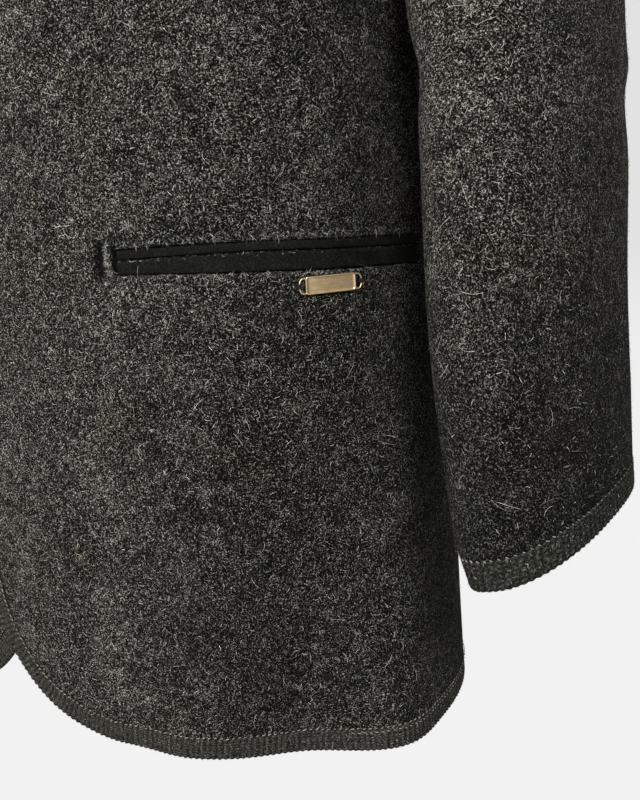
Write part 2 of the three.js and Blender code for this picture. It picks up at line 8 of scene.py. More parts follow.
import bpy
import mathutils
import numpy as np
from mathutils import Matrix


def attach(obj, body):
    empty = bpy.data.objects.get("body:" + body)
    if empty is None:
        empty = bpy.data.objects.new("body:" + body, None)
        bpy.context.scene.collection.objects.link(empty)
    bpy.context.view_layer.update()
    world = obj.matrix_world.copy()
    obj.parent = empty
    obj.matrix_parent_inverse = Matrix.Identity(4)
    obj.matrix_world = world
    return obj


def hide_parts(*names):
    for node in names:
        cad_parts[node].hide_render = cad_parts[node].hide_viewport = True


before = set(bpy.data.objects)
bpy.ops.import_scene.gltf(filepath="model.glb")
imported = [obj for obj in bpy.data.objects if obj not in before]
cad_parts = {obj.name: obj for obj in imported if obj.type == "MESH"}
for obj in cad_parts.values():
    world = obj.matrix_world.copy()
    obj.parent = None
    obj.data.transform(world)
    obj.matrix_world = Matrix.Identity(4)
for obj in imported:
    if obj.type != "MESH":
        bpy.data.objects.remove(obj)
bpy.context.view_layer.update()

DEGREE = math.pi / 180
MM = 0.001

# The solids' driving dimensions
BODY_LENGTH = 740
WOOL = 2.8
SEAM_GAP = 0.3
FRONT_NECK_DROP = 80
BACK_NECK_DROP = 8
NECK_DROP_REACH = 290
UNDERARM_LEVEL = -240
SHOULDER_LEVEL = -66
FRONT_NOTCH = 24 * DEGREE
BACK_NOTCH = 21 * DEGREE
SIDE_SEAM_TURN = 15 * DEGREE
SIDE_SEAM_TURNED_LEVEL = -520
OVERLAP = 18
OVERLAP_LIFT = WOOL + 0.5
CORNER_RADIUS = 96
BAND_WIDTH = 13
BAND = 3.0
CUFF_BAND_WIDTH = 14
CUFF_LEVEL = -613
BICEP_LEVEL = -275
COLLAR_HEIGHT = 42
COLLAR_HALF_OPENING = 4
COLLAR_LEAN = -0.16
BUTTON_COUNT = 5
BUTTON_RADIUS = 10.5
BUTTON_THICKNESS = 4.2
TOP_BUTTON = -168
BOTTOM_BUTTON = -540

# Where the looks leave the solids: panels run into each other, and each cuff is pinched and raised on its outer side
SEAM_OVERLAP = 0.3
COLLAR_TUCK = 1.6
CUFF_RISE = 5.5
CUFF_RISE_REACH = 130
CUFF_PINCH = 5
CUFF_PINCH_WIDTH = 0.13
RIDGE_REACH = 8.0

# How much painted shade darkens the cloth over the fronts and towards the cuffs
FRONT_PAINTED_SHADE = 0.27
SLEEVE_PAINTED_SHADE = 0.6

# Rib pitches, and places across a band, which lie closer together at its rims
HEM_PITCH = 3.2
CUFF_PITCH = 3.85
RIB_HEIGHT = 0.30
ACROSS = np.array([0, 0.35, 0.9, 1.8, 3.4, 5.6, 8.0, 10.2, 11.6, 12.3, 12.75, 13.0])
# Distances of the extra grid lines beside an edge
DENSE = np.array([0.35, 0.9, 1.8, 3.4])

# Body rings: level, half width, the Y where the ring is widest, its front and back, and how square it is
RINGS = np.array([
    (0, 74, 0, -64, 56, 2.0),
    (-18, 115, 0, -78, 78, 2.0),
    (-38, 165, 0, -91, 96, 2.1),
    (-66, 226, 2, -105, 112, 2.2),
    (-85, 236, 3, -112, 117, 2.3),
    (-110, 236, 3, -120, 121, 2.35),
    (-160, 222, 0, -133, 124, 2.4),
    (-200, 206, -5, -141, 123, 2.4),
    (-240, 197, -10, -146, 120, 2.4),
    (-340, 194, -18, -149, 114, 2.35),
    (-440, 194, -22, -149, 112, 2.35),
    (-540, 200, -30, -152, 120, 2.3),
    (-640, 207, -40, -156, 122, 2.2),
    (-740, 217, -50, -158, 124, 2.15),
], float)

# Sleeve sections: level, centre, half axes front to back and side to side, turn in degrees, and the rim's two slopes
SLEEVE = np.array([
    (-275, 246, 0, 72.8, 44.8, 0, 0.12, 0.1),
    (-340, 244, -6, 70.8, 42.3, 2, 0.12, 0.08),
    (-400, 253, -16, 68.8, 39.8, 3, 0.14, 0.05),
    (-510, 265, -36, 64.8, 35.8, 4, 0.22, -0.06),
    (-613, 281, -48, 59.8, 32.8, 3, 0.3, -0.15),
], float)
SLEEVE_POWER = 2.4
FRONT_SEAM = 0.34
BACK_SEAM = -0.3

# Soft vertical folds of the solids: middle and half width in degrees from the front, depth, and where each fades out
FOLDS = [
    (50, 7, 3, -540),
    (70, 10, -14, -440),
    (84, 5, 3, -500),
    (118, 9, -6, -470),
    (140, 9, 5, -430),
    (162, 8, -4, -500),
]

# The pocket's window, its welts and bag, and the label with its wire loops; lengths run from the centre front
POCKET_START = 93
POCKET_LENGTH = 172
POCKET_LEVEL = -475
POCKET_UPPER = 6.4
POCKET_LOWER = 7.8
POCKET_RECESS = 0.7
POCKET_SLIT = 0.4
LIFT_FADE = (23, 83)
WELT_THICKNESS = 2.4
WELT_OUT = {"upper": 0.2, "lower": 0.5}
BAG_MARGIN = 9
BAG_HEIGHT = 120
BAG_THICKNESS = 1.8
BAG_IN = POCKET_RECESS + 2.2 + 1.9
LABEL_ALONG = 108.0
LABEL_BELOW = 5.8
LABEL_LENGTH = 26.6
LABEL_HEIGHT = 8.6
LABEL_CORNER = 1.2
LABEL_THICKNESS = 0.9
LABEL_RIM = 0.35
LABEL_RIM_WIDTH = 0.75
LOOP_START = 13.0
LOOP_END = 16.6
LOOP_WIRE = 0.36
THREAD = 0.24


def smooth_curve(xs, ys):
    """A curve through the points that never overshoots them, as a function of an array."""
    xs = np.asarray(xs, float)
    ys = np.asarray(ys, float)
    slopes = np.diff(ys) / np.diff(xs)
    spans = np.diff(xs)
    tangents = np.zeros(len(xs))
    tangents[0] = slopes[0]
    tangents[-1] = slopes[-1]
    for i in range(1, len(xs) - 1):
        if slopes[i - 1] * slopes[i] > 0:
            w1 = 2 * spans[i] + spans[i - 1]
            w2 = spans[i] + 2 * spans[i - 1]
            tangents[i] = (w1 + w2) / (w1 / slopes[i - 1] + w2 / slopes[i])

    def value(x):
        x = np.asarray(x, float)
        i = np.clip(np.searchsorted(xs, x, side="left") - 1, 0, len(xs) - 2)
        span = spans[i]
        t = (x - xs[i]) / span
        rise = (3 - 2 * t) * t * t
        bend = span * t * (1 - t) * ((1 - t) * tangents[i] - t * tangents[i + 1])
        return (1 - rise) * ys[i] + rise * ys[i + 1] + bend

    return value


def curves_of(table):
    rows = table[::-1]
    return [smooth_curve(rows[:, 0], rows[:, k]) for k in range(1, table.shape[1])]


half_width, y_wide, y_front, y_back, ring_power = curves_of(RINGS)
sleeve_x, sleeve_y, sleeve_long, sleeve_short, sleeve_turn, rise_out, rise_front = curves_of(SLEEVE)


def step(low, high, value):
    t = np.clip((value - low) / (high - low), 0, 1)
    return t * t * (3 - 2 * t)


def mix(a, b, t):
    return a + (b - a) * t


def bump(value, middle, width):
    return np.exp(-(((value - middle) / width) ** 2))


def lengths_of(points):
    """The distance from the first point to each one, along a row of points."""
    return np.concatenate([[0], np.cumsum(np.linalg.norm(np.diff(points, axis=0), axis=-1))])


def neck_drop(level, most):
    """How far a ring sinks at the front or back, where the neck opening dips."""
    return np.where(level < -NECK_DROP_REACH, 0, most * 0.5 * (1 + np.cos(np.pi * level / NECK_DROP_REACH)))


def body_form(angle, level):
    """The smooth body at compass angles from the front (negative on the wearer's right) and levels."""
    angle, level = np.broadcast_arrays(np.asarray(angle, float), np.asarray(level, float))
    sine = np.sin(angle)
    cosine = np.cos(angle)
    wide = y_wide(level)
    depth = np.where(cosine > 0, wide - y_front(level), y_back(level) - wide)
    power = ring_power(level)
    reach = np.abs(sine / half_width(level)) ** power + np.abs(cosine / depth) ** power
    radius = reach ** (-1 / power)
    drop = neck_drop(level, np.where(cosine > 0, FRONT_NECK_DROP, BACK_NECK_DROP))
    return np.stack([radius * sine, wide - radius * cosine, level - drop * cosine * cosine], -1)


def unit(v):
    return v / np.linalg.norm(v, axis=-1, keepdims=True)


def normal_of(surface, u, v, du, dv):
    along_u = surface(u + du, v) - surface(u - du, v)
    along_v = surface(u, v + dv) - surface(u, v - dv)
    return unit(np.cross(along_u, along_v))


def fold_depth(angle, level):
    degrees = np.abs(angle) / DEGREE
    depth = np.zeros(np.broadcast(degrees, level).shape)
    for at, width, deep, top in FOLDS:
        depth = depth + deep * bump(degrees, at, width) * step(top, -BODY_LENGTH, level)
    return depth


def angle_at(x, level):
    """The compass angle of points at one distance from the centre line, on the front half."""
    level = np.asarray(level, float)
    depth = y_wide(level) - y_front(level)
    power = ring_power(level)
    share = np.minimum(0.999, np.abs(x) / half_width(level))
    return np.arctan2(x, depth * (1 - share**power) ** (1 / power))


def body_point(angle, level, out, right=False):
    """A point of the body with its folds and creases, moved out along the surface's normal."""
    angle, level, out = np.broadcast_arrays(*(np.asarray(v, float) for v in (angle, level, out)))
    normal = normal_of(body_form, angle, level, 0.002, 0.5)
    depth = fold_depth(angle, level) + crease_depth(angle, level, right) + out
    return body_form(angle, level) + normal * depth[..., None]


def armhole_angle(share):
    sine = np.sin(2 * np.pi * share)
    return np.pi / 2 - np.where(sine > 0, FRONT_NOTCH, BACK_NOTCH) * sine


def armhole_level(share):
    return mix(SHOULDER_LEVEL, UNDERARM_LEVEL, (1 - np.cos(2 * np.pi * share)) / 2)


def armhole_cut(level):
    """How far the armhole cuts into a panel at one level, as a share of its notch."""
    t = np.clip((level - UNDERARM_LEVEL) / (SHOULDER_LEVEL - UNDERARM_LEVEL), 0, 1)
    return 2 * np.sqrt(t * (1 - t))


def side_angle(level):
    return np.pi / 2 + SIDE_SEAM_TURN * (1 - step(SIDE_SEAM_TURNED_LEVEL, UNDERARM_LEVEL, level))


def seam_angle(level):
    """Half a seam's gap as an angle, below zero because the panels run into each other."""
    return -SEAM_OVERLAP / 2 / half_width(level)


def front_edge(level, inset):
    radius = CORNER_RADIUS - inset
    above = level + BODY_LENGTH - inset
    edge = -OVERLAP + inset
    down = radius - np.clip(above, 0, radius)
    return np.where(above >= radius, edge, edge + radius - np.sqrt(np.maximum(0, radius**2 - down**2)))


def section_point(around, level):
    """A sleeve section's point: around is 0 outside, 0.25 at the front, 0.5 by the body and 0.75 at the back."""
    cosine = np.cos(2 * np.pi * around)
    sine = np.sin(2 * np.pi * around)
    power = 2 / SLEEVE_POWER
    outward = sleeve_short(level) * np.sign(cosine) * np.abs(cosine) ** power
    forward = sleeve_long(level) * np.sign(sine) * np.abs(sine) ** power
    turn = sleeve_turn(level) * DEGREE
    x = sleeve_x(level) + outward * np.cos(turn) - forward * np.sin(turn)
    y = sleeve_y(level) - outward * np.sin(turn) - forward * np.cos(turn)
    return np.stack([x, y, level + rise_out(level) * outward + rise_front(level) * forward], -1)


def sleeve_form(around, level):
    """The sleeve's outer surface, from the armhole at the shoulder level down to the cuff."""
    around, level = np.broadcast_arrays(np.asarray(around, float), np.asarray(level, float))
    span = SHOULDER_LEVEL - BICEP_LEVEL
    t = ((SHOULDER_LEVEL - level) / span)[..., None]
    share = around % 1
    start = body_form(armhole_angle(share), armhole_level(share)) + np.array([SEAM_GAP, 0, 0])
    end = section_point(around, np.full_like(level, BICEP_LEVEL))
    low = (1 - np.cos(2 * np.pi * share)) / 2
    gap = np.linalg.norm(end - start, axis=-1, keepdims=True)
    leave = np.stack([mix(0.62, 0.65, low), -0.25 * np.sin(2 * np.pi * share), np.full_like(low, -0.8)], -1)
    leave = unit(leave) * gap * 1.05
    arrive = (section_point(around, np.full_like(level, BICEP_LEVEL - 5.0)) - end) * (span / 5)
    length = np.linalg.norm(arrive, axis=-1, keepdims=True)
    arrive = arrive * np.minimum(1, gap * 1.2 / length)
    t2, t3 = t * t, t * t * t
    cap = start * (2 * t3 - 3 * t2 + 1) + leave * (t3 - 2 * t2 + t) + end * (3 * t2 - 2 * t3) + arrive * (t3 - t2)
    return np.where((level <= BICEP_LEVEL)[..., None], section_point(around, level), cap)


def sleeve_point(around, level, out):
    around, level, out = np.broadcast_arrays(*(np.asarray(v, float) for v in (around, level, out)))
    normal = -normal_of(sleeve_form, around, np.minimum(level, SHOULDER_LEVEL - 0.6), 0.002, 0.5)
    radial = np.stack([0 * around, -np.sin(2 * np.pi * around), np.cos(2 * np.pi * around)], -1)
    own = step(0, 0.3, (SHOULDER_LEVEL - level) / (SHOULDER_LEVEL - BICEP_LEVEL))[..., None]
    normal = unit(normal * own + radial * (1 - own))
    pinch = CUFF_PINCH * bump((around + 0.1) % 1 - 0.5, 0, CUFF_PINCH_WIDTH)
    pinch = pinch * step(CUFF_LEVEL + 24, CUFF_LEVEL - 3, level)
    outer_side = (1 + np.cos(2 * np.pi * around)) ** 2 / 4
    rise = CUFF_RISE * outer_side * step(CUFF_LEVEL + CUFF_RISE_REACH, CUFF_LEVEL, level)
    point = sleeve_form(around, level) + normal * (out + sleeve_crease(around, level) - pinch)[..., None]
    return point + rise[..., None] * np.array([0, 0, 1.0])


# Creases on the body: angle and level of the middle, half widths in degrees and millimetres, lean, depth
CREASES = [
    (80, -610, 24, 85, 0.0, 3.3),
    (23, -420, 5, 130, 0.02, 1.6),
    (47, -610, 6, 110, 0.01, -2.2),
    (60, -640, 6, 120, -0.01, 2.0),
    (36, -700, 6, 60, 0.0, 1.4),
    (30, -560, 8, 90, 0.03, -1.2),
    (84, -420, 7, 150, 0.02, -2.5),
    (14, -300, 6, 120, -0.02, 1.4),
    (45, -300, 9, 90, 0.05, -2.0),
    (62, -260, 8, 70, 0.10, 2.4),
    (98, -330, 6, 120, 0.03, 2.6),
    (110, -420, 7, 150, -0.02, -2.8),
    (128, -330, 8, 140, 0.03, 2.2),
    (150, -380, 8, 170, -0.01, -2.4),
    (171, -460, 7, 190, 0.0, 1.6),
    (133, -180, 8, 60, -0.10, -2.6),
    (120, -150, 6, 50, -0.12, 1.8),
    (158, -250, 9, 80, 0.04, 1.4),
]


def crease_depth(angle, level, right):
    """The same kinds of crease on both sides, moved a little on the wearer's right so that none is a copy."""
    side = np.asarray(angle) / DEGREE
    depth = np.zeros(np.broadcast(side, level).shape)
    for k, (at, middle, width, height, lean, deep) in enumerate(CREASES):
        shift = np.where(right, 4 * math.sin(2.1 * k + 1), 0)
        drop = np.where(right, 30 * math.cos(1.7 * k), 0)
        fade = np.where(right, 0.8 + 0.3 * math.sin(3.3 * k), 1)
        line = at + shift + lean * (level - middle - drop)
        depth = depth + deep * fade * bump(side, line, width) * bump(level, middle + drop, height)
    return depth


# The sleeves' creases: place round the section, level, half widths, lean per millimetre, depth
SLEEVE_CREASES = [
    (0.24, -372, 0.05, 26, 0.0012, -2.6),
    (0.30, -352, 0.07, 12, 0.0030, 2.2),
    (0.16, -405, 0.08, 12, 0.0026, -2.0),
    (0.40, -395, 0.07, 14, -0.0020, -2.8),
    (0.08, -330, 0.06, 40, 0.0010, -1.6),
    (0.20, -520, 0.035, 90, 0.0001, 1.8),
    (0.10, -480, 0.04, 100, 0.0002, -1.6),
    (0.92, -400, 0.06, 30, 0.0016, -2.4),
    (0.80, -390, 0.09, 11, -0.0030, 2.6),
    (0.76, -415, 0.10, 12, -0.0030, -3.0),
    (0.70, -440, 0.09, 12, -0.0026, 2.2),
    (0.60, -420, 0.07, 16, 0.0022, -2.4),
    (0.88, -530, 0.04, 90, 0.0001, 1.6),
    (0.98, -190, 0.05, 50, 0.0004, -1.8),
    (0.12, -200, 0.04, 45, 0.0005, 1.6),
    (0.34, -220, 0.04, 30, 0.0008, -2.2),
    (0.68, -215, 0.04, 30, -0.0008, -2.4),
]


def sleeve_crease(around, level):
    around = np.asarray(around) % 1
    depth = np.zeros(np.broadcast(around, level).shape)
    for at, middle, width, height, lean, deep in SLEEVE_CREASES:
        gap = (around - at - lean * (level - middle) + 0.5) % 1 - 0.5
        depth = depth + deep * bump(gap, 0, width) * bump(level, middle, height)
    fade = step(SHOULDER_LEVEL, SHOULDER_LEVEL - 40, level) * step(CUFF_LEVEL - 5, CUFF_LEVEL + 60, level)
    return depth * fade


# Meshes


def make_mesh(name, points, faces):
    """A smooth mesh from points in millimetres and faces that all have as many corners."""
    faces = np.asarray(faces, np.int32)
    sides = faces.shape[1]
    mesh = bpy.data.meshes.new(name)
    mesh.vertices.add(len(points))
    mesh.vertices.foreach_set("co", (np.asarray(points) * MM).astype(np.float32).ravel())
    mesh.loops.add(faces.size)
    mesh.loops.foreach_set("vertex_index", faces.ravel())
    mesh.polygons.add(len(faces))
    mesh.polygons.foreach_set("loop_start", np.arange(0, faces.size, sides, dtype=np.int32))
    mesh.polygons.foreach_set("use_smooth", np.ones(len(faces), bool))
    mesh.update(calc_edges=True)
    mesh.validate()
    return mesh


def add_piece(name, mesh, material, replaces=()):
    piece = bpy.data.objects.new(name, mesh)
    bpy.context.scene.collection.objects.link(piece)
    for entry in material if isinstance(material, list) else [material]:
        mesh.materials.append(entry)
    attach(piece, "root")
    if replaces:
        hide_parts(*replaces)
    return piece


def signed_volume(points, faces):
    p = points[faces]
    total = 0
    for k in range(1, faces.shape[1] - 1):
        total += np.einsum("ij,ij->i", p[:, 0], np.cross(p[:, k], p[:, k + 1])).sum()
    return total / 6


def shell_faces(rows, columns, keep=None, ring=False):
    """Quads of a closed wall between an outer and an inner grid, with holes where keep is false."""
    last = columns if ring else columns - 1
    i, j = np.meshgrid(np.arange(rows - 1), np.arange(last), indexing="ij")
    if keep is not None:
        i, j = i[keep], j[keep]
    i, j = i.ravel(), j.ravel()
    after = (j + 1) % columns
    a, b = i * columns + j, i * columns + after
    c, d = b + columns, a + columns
    outer = np.stack([a, b, c, d], 1)
    back = rows * columns
    edges = np.concatenate([outer[:, [k, (k + 1) % 4]] for k in range(4)])
    code = edges[:, 0].astype(np.int64) * back + edges[:, 1]
    reverse = edges[:, 1].astype(np.int64) * back + edges[:, 0]
    rim = edges[~np.isin(code, reverse)]
    wall = np.stack([rim[:, 1], rim[:, 0], rim[:, 0] + back, rim[:, 1] + back], 1)
    return np.concatenate([outer, outer[:, ::-1] + back, wall])


def ring_faces(rings, sides):
    """Quads between closed rings that follow each other."""
    i, j = (index.ravel() for index in np.meshgrid(np.arange(rings - 1), np.arange(sides), indexing="ij"))
    after = (j + 1) % sides
    return np.stack([i * sides + j, i * sides + after, (i + 1) * sides + after, (i + 1) * sides + j], 1)


def drop_unused(points, faces):
    used = np.unique(faces)
    place = np.full(len(points), -1)
    place[used] = np.arange(len(used))
    return points[used], place[faces], used


def edge_distance(grid):
    """Each grid point's distance to the nearest edge of its sheet, along the grid's lines."""
    steps = np.linalg.norm(np.diff(grid, axis=0), axis=-1)
    down = np.concatenate([np.zeros((1, grid.shape[1])), np.cumsum(steps, 0)])
    steps = np.linalg.norm(np.diff(grid, axis=1), axis=-1)
    along = np.concatenate([np.zeros((grid.shape[0], 1)), np.cumsum(steps, 1)], 1)
    return np.minimum(np.minimum(down, down[-1] - down), np.minimum(along, along[:, -1:] - along))


def rounded(distance, radius):
    """How far a rounded edge has sunk at each distance from the rim."""
    short = np.clip(1 - distance / radius, 0, 1)
    return radius * (1 - np.sqrt(1 - short * short))


def build_shell(name, point_at, shape, thickness, material, replaces, keep=None, relief=0, holes=np.inf,
                radius=1.3, shade=None):
    """A closed cloth shell. point_at(out) gives the grid moved out by an array of distances."""
    near = np.minimum(edge_distance(point_at(np.zeros(shape))), holes)
    sink = rounded(near, radius)
    outer = point_at(relief - sink)
    inner = point_at(-thickness + 0.3 * sink)
    faces = shell_faces(*shape, keep)
    points = np.concatenate([outer.reshape(-1, 3), inner.reshape(-1, 3)])
    points, faces, used = drop_unused(points, faces)
    if signed_volume(points, faces) < 0:
        faces = faces[:, ::-1]
    mesh = make_mesh(name, points, faces)
    if shade is not None:
        both = np.concatenate([shade.ravel(), shade.ravel()])[used]
        mesh.attributes.new("shade", "FLOAT", "POINT").data.foreach_set("value", both.astype(np.float32))
    return add_piece(name, mesh, material, replaces), outer


def spaced(low, high, pitch, anchors=()):
    """Even places from low to high, closer together beside both ends and the anchors."""
    values = [np.linspace(low, high, max(2, round((high - low) / pitch) + 1))]
    for anchor in (low, high, *anchors):
        values += [np.array([anchor]), anchor + DENSE, anchor - DENSE]
    values = np.unique(np.concatenate(values))
    values = values[(values >= low) & (values <= high)]
    fixed = np.concatenate([[low, high], list(anchors)])
    keep = [values[0]]
    for value in values[1:]:
        if value - keep[-1] > 0.3 or np.min(np.abs(fixed - value)) < 1e-9:
            if value - keep[-1] < 0.3 and np.min(np.abs(fixed - keep[-1])) > 1e-9:
                keep.pop()
            keep.append(value)
    return np.array(keep)


# Materials


class Graph:
    """A small help for building node trees."""

    def __init__(self, name):
        self.material = bpy.data.materials.new(name)
        self.material.use_nodes = True
        self.tree = self.material.node_tree
        self.shader = self.tree.nodes["Principled BSDF"]
        self.place = self.node("TexCoord").outputs["Object"]

    def fill(self, node, inputs):
        """Fills a node's inputs: sockets are linked, other values are set, and None leaves an input as it is."""
        for key, value in inputs.items():
            if isinstance(value, bpy.types.NodeSocket):
                self.tree.links.new(value, node.inputs[key])
            elif value is not None:
                node.inputs[key].default_value = value
        return node

    def node(self, kind, inputs=None, **settings):
        node = self.tree.nodes.new("ShaderNode" + kind)
        for key, value in settings.items():
            setattr(node, key, value)
        return self.fill(node, inputs or {})

    def noise(self, scale, detail=2.0, roughness=0.5, distortion=0.0, shift=(0, 0, 0), stretch=(1, 1, 1)):
        place = self.place
        if any(shift) or stretch != (1, 1, 1):
            place = self.node("Mapping", {"Vector": place, "Location": shift, "Scale": stretch}).outputs["Vector"]
        return self.node("TexNoise", {"Vector": place, "Scale": scale, "Detail": detail, "Roughness": roughness,
                                      "Distortion": distortion}).outputs["Fac"]

    def math(self, kind, a, b=None, c=None, clamp=False):
        return self.node("Math", {0: a, 1: b, 2: c}, operation=kind, use_clamp=clamp).outputs[0]

    def off_middle(self, value):
        return self.math("SUBTRACT", value, 0.5)

    def range(self, value, low, high, to_low=0.0, to_high=1.0):
        limits = {"Value": value, "From Min": low, "From Max": high, "To Min": to_low, "To Max": to_high}
        return self.node("MapRange", limits, interpolation_type="SMOOTHSTEP").outputs["Result"]

    def ramp(self, value, stops):
        node = self.node("ValToRGB", {"Fac": value})
        elements = node.color_ramp.elements
        for element, (position, colour) in ((elements[0], stops[0]), (elements[1], stops[-1])):
            element.position, element.color = position, (*colour, 1)
        for position, colour in stops[1:-1]:
            elements.new(position).color = (*colour, 1)
        return node.outputs["Color"]

    def multiply(self, factor, colour, tint):
        return self.node("Mix", {0: factor, 6: colour, 7: (*tint, 1)}, data_type="RGBA",
                         blend_type="MULTIPLY").outputs[2]

    def finish(self, colour, roughness, bump=None, **others):
        """Fills the shader's inputs and gives the material. bump holds a height, its strength and its metres."""
        if bump:
            normal = self.node("Bump", {"Height": bump[0], "Strength": bump[1], "Distance": bump[2]})
            others["Normal"] = normal.outputs["Normal"]
        names = {key.replace("_", " "): value for key, value in others.items()}
        self.fill(self.shader, {"Base Color": colour, "Roughness": roughness, **names})
        return self.material


def wool_material(name, stops, warm):
    """Boiled wool: curled light fibres over near-black, with soft clumps and a felted relief.

    The mesh's "shade" value, where it has one, is painted shade: it darkens the seams, the pocket's hollows and the
    shaded cloth.
    """
    g = Graph(name)
    curls = None
    for k, (scale, width) in enumerate(((560, 0.055), (820, 0.065))):
        field = g.noise(scale, 1.6, 0.5, 0.9, (0.13 * k, 0.07 * k, -0.11 * k))
        ridge = g.range(g.math("ABSOLUTE", g.off_middle(field)), 0.0, width, 1.0, 0.0)
        curls = ridge if curls is None else g.math("MAXIMUM", curls, ridge)
    patches = g.range(g.noise(420, 2.0, 0.6, 0.4, (0.3, 0.2, 0.1)), 0.38, 0.62)
    fleck = g.math("MULTIPLY", curls, patches)
    grain = g.noise(1180, 3.0, 0.72, 0.4)
    clumps = g.noise(170, 2.0, 0.6, 0.5, (0.5, 0.6, 0.2))
    clouds = g.noise(38, 3.0, 0.55, 0.0, (0.1, 0.9, 0.4))
    tone = g.math("MULTIPLY_ADD", g.off_middle(grain), 3.9, 0.37)
    for part, share in ((g.off_middle(clumps), 0.5), (g.off_middle(clouds), 0.35), (fleck, 0.2)):
        tone = g.math("ADD", tone, g.math("MULTIPLY", part, share))
    colour = g.ramp(g.math("ADD", tone, 0.0, clamp=True), stops)
    tint = g.range(g.noise(24, 2.0, 0.5, 0.0, (0.4, 0.1, 0.7)), 0.5, 0.75)
    colour = g.multiply(g.math("MULTIPLY", tint, 0.45), colour, warm)
    shade = g.node("Attribute", attribute_name="shade").outputs["Fac"]
    # Painted shade from the mesh's shade value, down to 4% of the colour.
    colour = g.multiply(shade, colour, (0.04, 0.04, 0.04))
    return g.finish(colour, g.range(grain, 0.3, 0.7, 0.85, 1.0), (tone, 0.7, 0.0008), Specular_IOR_Level=0.03,
                    Sheen_Weight=0.01, Sheen_Roughness=0.6)


def fibre_material(name, colour):
    g = Graph(name)
    stops = [(at, tuple(share * c for c in colour)) for at, share in ((0.3, 0.6), (0.7, 1.4))]
    return g.finish(g.ramp(g.noise(300, 2.0), stops), 0.8, Specular_IOR_Level=0.1)


def knit_material(name, pitch, loop, dark, light):
    """Rib knit from the band's own map, in millimetres: V-shaped loops up each rib, dark between the ribs."""
    g = Graph(name)
    split = g.node("SeparateXYZ", {0: g.node("UVMap", uv_map="cloth").outputs["UV"]})
    along, across = split.outputs[0], split.outputs[1]
    wander = g.math("MULTIPLY", g.noise(420, 1.0), 0.5)
    rib = g.math("ABSOLUTE", g.off_middle(g.math("FRACT", g.math("DIVIDE", along, pitch))))
    slope = g.math("MULTIPLY", rib, 1.1)
    rise = g.math("ADD", g.math("DIVIDE", across, loop), g.math("ADD", slope, wander))
    wave = g.math("ABSOLUTE", g.off_middle(g.math("FRACT", rise)))
    yarn = g.range(wave, 0.06, 0.42, 1.0, 0.0)
    crown = g.range(rib, 0.14, 0.44, 1.0, 0.0)
    fuzz = g.noise(1000, 2.0, 0.65, 0.6)
    loops = g.math("MULTIPLY", g.math("MULTIPLY", yarn, crown), 0.25)
    height = g.math("ADD", loops, g.math("MULTIPLY_ADD", fuzz, 1.5, -0.38))
    between = tuple(mix(a, b, 0.22) for a, b in zip(dark, light))
    colour = g.ramp(height, [(0.22, dark), (0.55, between), (0.95, light)])
    return g.finish(colour, g.range(fuzz, 0.3, 0.7, 0.8, 0.98), (height, 0.7, 0.0006), Specular_IOR_Level=0.05)


def welt_material():
    """Fine smooth cloth, greenish black, with a faint nap."""
    g = Graph("welt_cloth")
    weave = g.noise(1100, 3.0, 0.7)
    cloud = g.noise(160, 3.0, 0.6)
    tone = g.math("ADD", g.math("MULTIPLY", weave, 0.75), g.math("MULTIPLY", cloud, 0.25))
    colour = g.ramp(tone, [
        (0.34, (0.0008, 0.0008, 0.0006)), (0.50, (0.0031, 0.0032, 0.0025)), (0.70, (0.0135, 0.0137, 0.0110)),
    ])
    return g.finish(colour, g.range(cloud, 0.3, 0.7, 0.75, 0.95), (weave, 0.3, 0.0003), Specular_IOR_Level=0.05)


def pocketing_material():
    g = Graph("pocketing_cloth")
    weave = g.noise(1100, stretch=(1, 1, 0.3))
    colour = g.ramp(weave, [(0.3, (0.012, 0.012, 0.011)), (0.7, (0.032, 0.032, 0.028))])
    return g.finish(colour, g.range(weave, 0.3, 0.7, 0.8, 0.95), (weave, 0.3, 0.0003))


def brass_material():
    """Satin antique brass: brushed along its length, browner in its dips."""
    g = Graph("antique_brass")
    brushed = g.noise(900, 3.0, 0.6, stretch=(0.15, 0.15, 1.0))
    cloud = g.noise(230, 3.0, 0.6)
    tone = g.math("ADD", g.math("MULTIPLY", brushed, 0.5), g.math("MULTIPLY", cloud, 0.5))
    colour = g.ramp(tone, [(0.3, (0.36, 0.25, 0.13)), (0.52, (0.58, 0.43, 0.25)), (0.75, (0.80, 0.64, 0.42))])
    return g.finish(colour, g.range(tone, 0.3, 0.7, 0.42, 0.3), (tone, 0.25, 0.0002), Metallic=0.85)


def horn_material():
    """Dark polished horn with lighter streaks."""
    g = Graph("dark_horn")
    streak = g.noise(120, 4.0, 0.55, 1.2, stretch=(1.0, 1.0, 0.25))
    colour = g.ramp(streak, [
        (0.35, (0.010, 0.007, 0.005)), (0.55, (0.045, 0.028, 0.016)), (0.8, (0.14, 0.09, 0.05)),
    ])
    return g.finish(colour, g.range(streak, 0.3, 0.7, 0.28, 0.4), (streak, 0.15, 0.0003))


# The darkest stops are the wool's own near-black and also painted shade in the hollows between the curls, which the
# bump cannot shade.
WOOL_STOPS = [
    (0.05, (0.0003, 0.0003, 0.0002)), (0.26, (0.0010, 0.0010, 0.0008)), (0.42, (0.0045, 0.0044, 0.0038)),
    (0.56, (0.0175, 0.0171, 0.0148)), (0.70, (0.056, 0.0548, 0.0483)), (0.85, (0.145, 0.142, 0.127)),
    (1.0, (0.32, 0.315, 0.285)),
]
WOOL_CLOTH = wool_material("boiled_wool", WOOL_STOPS, (1.0, 0.86, 0.68))
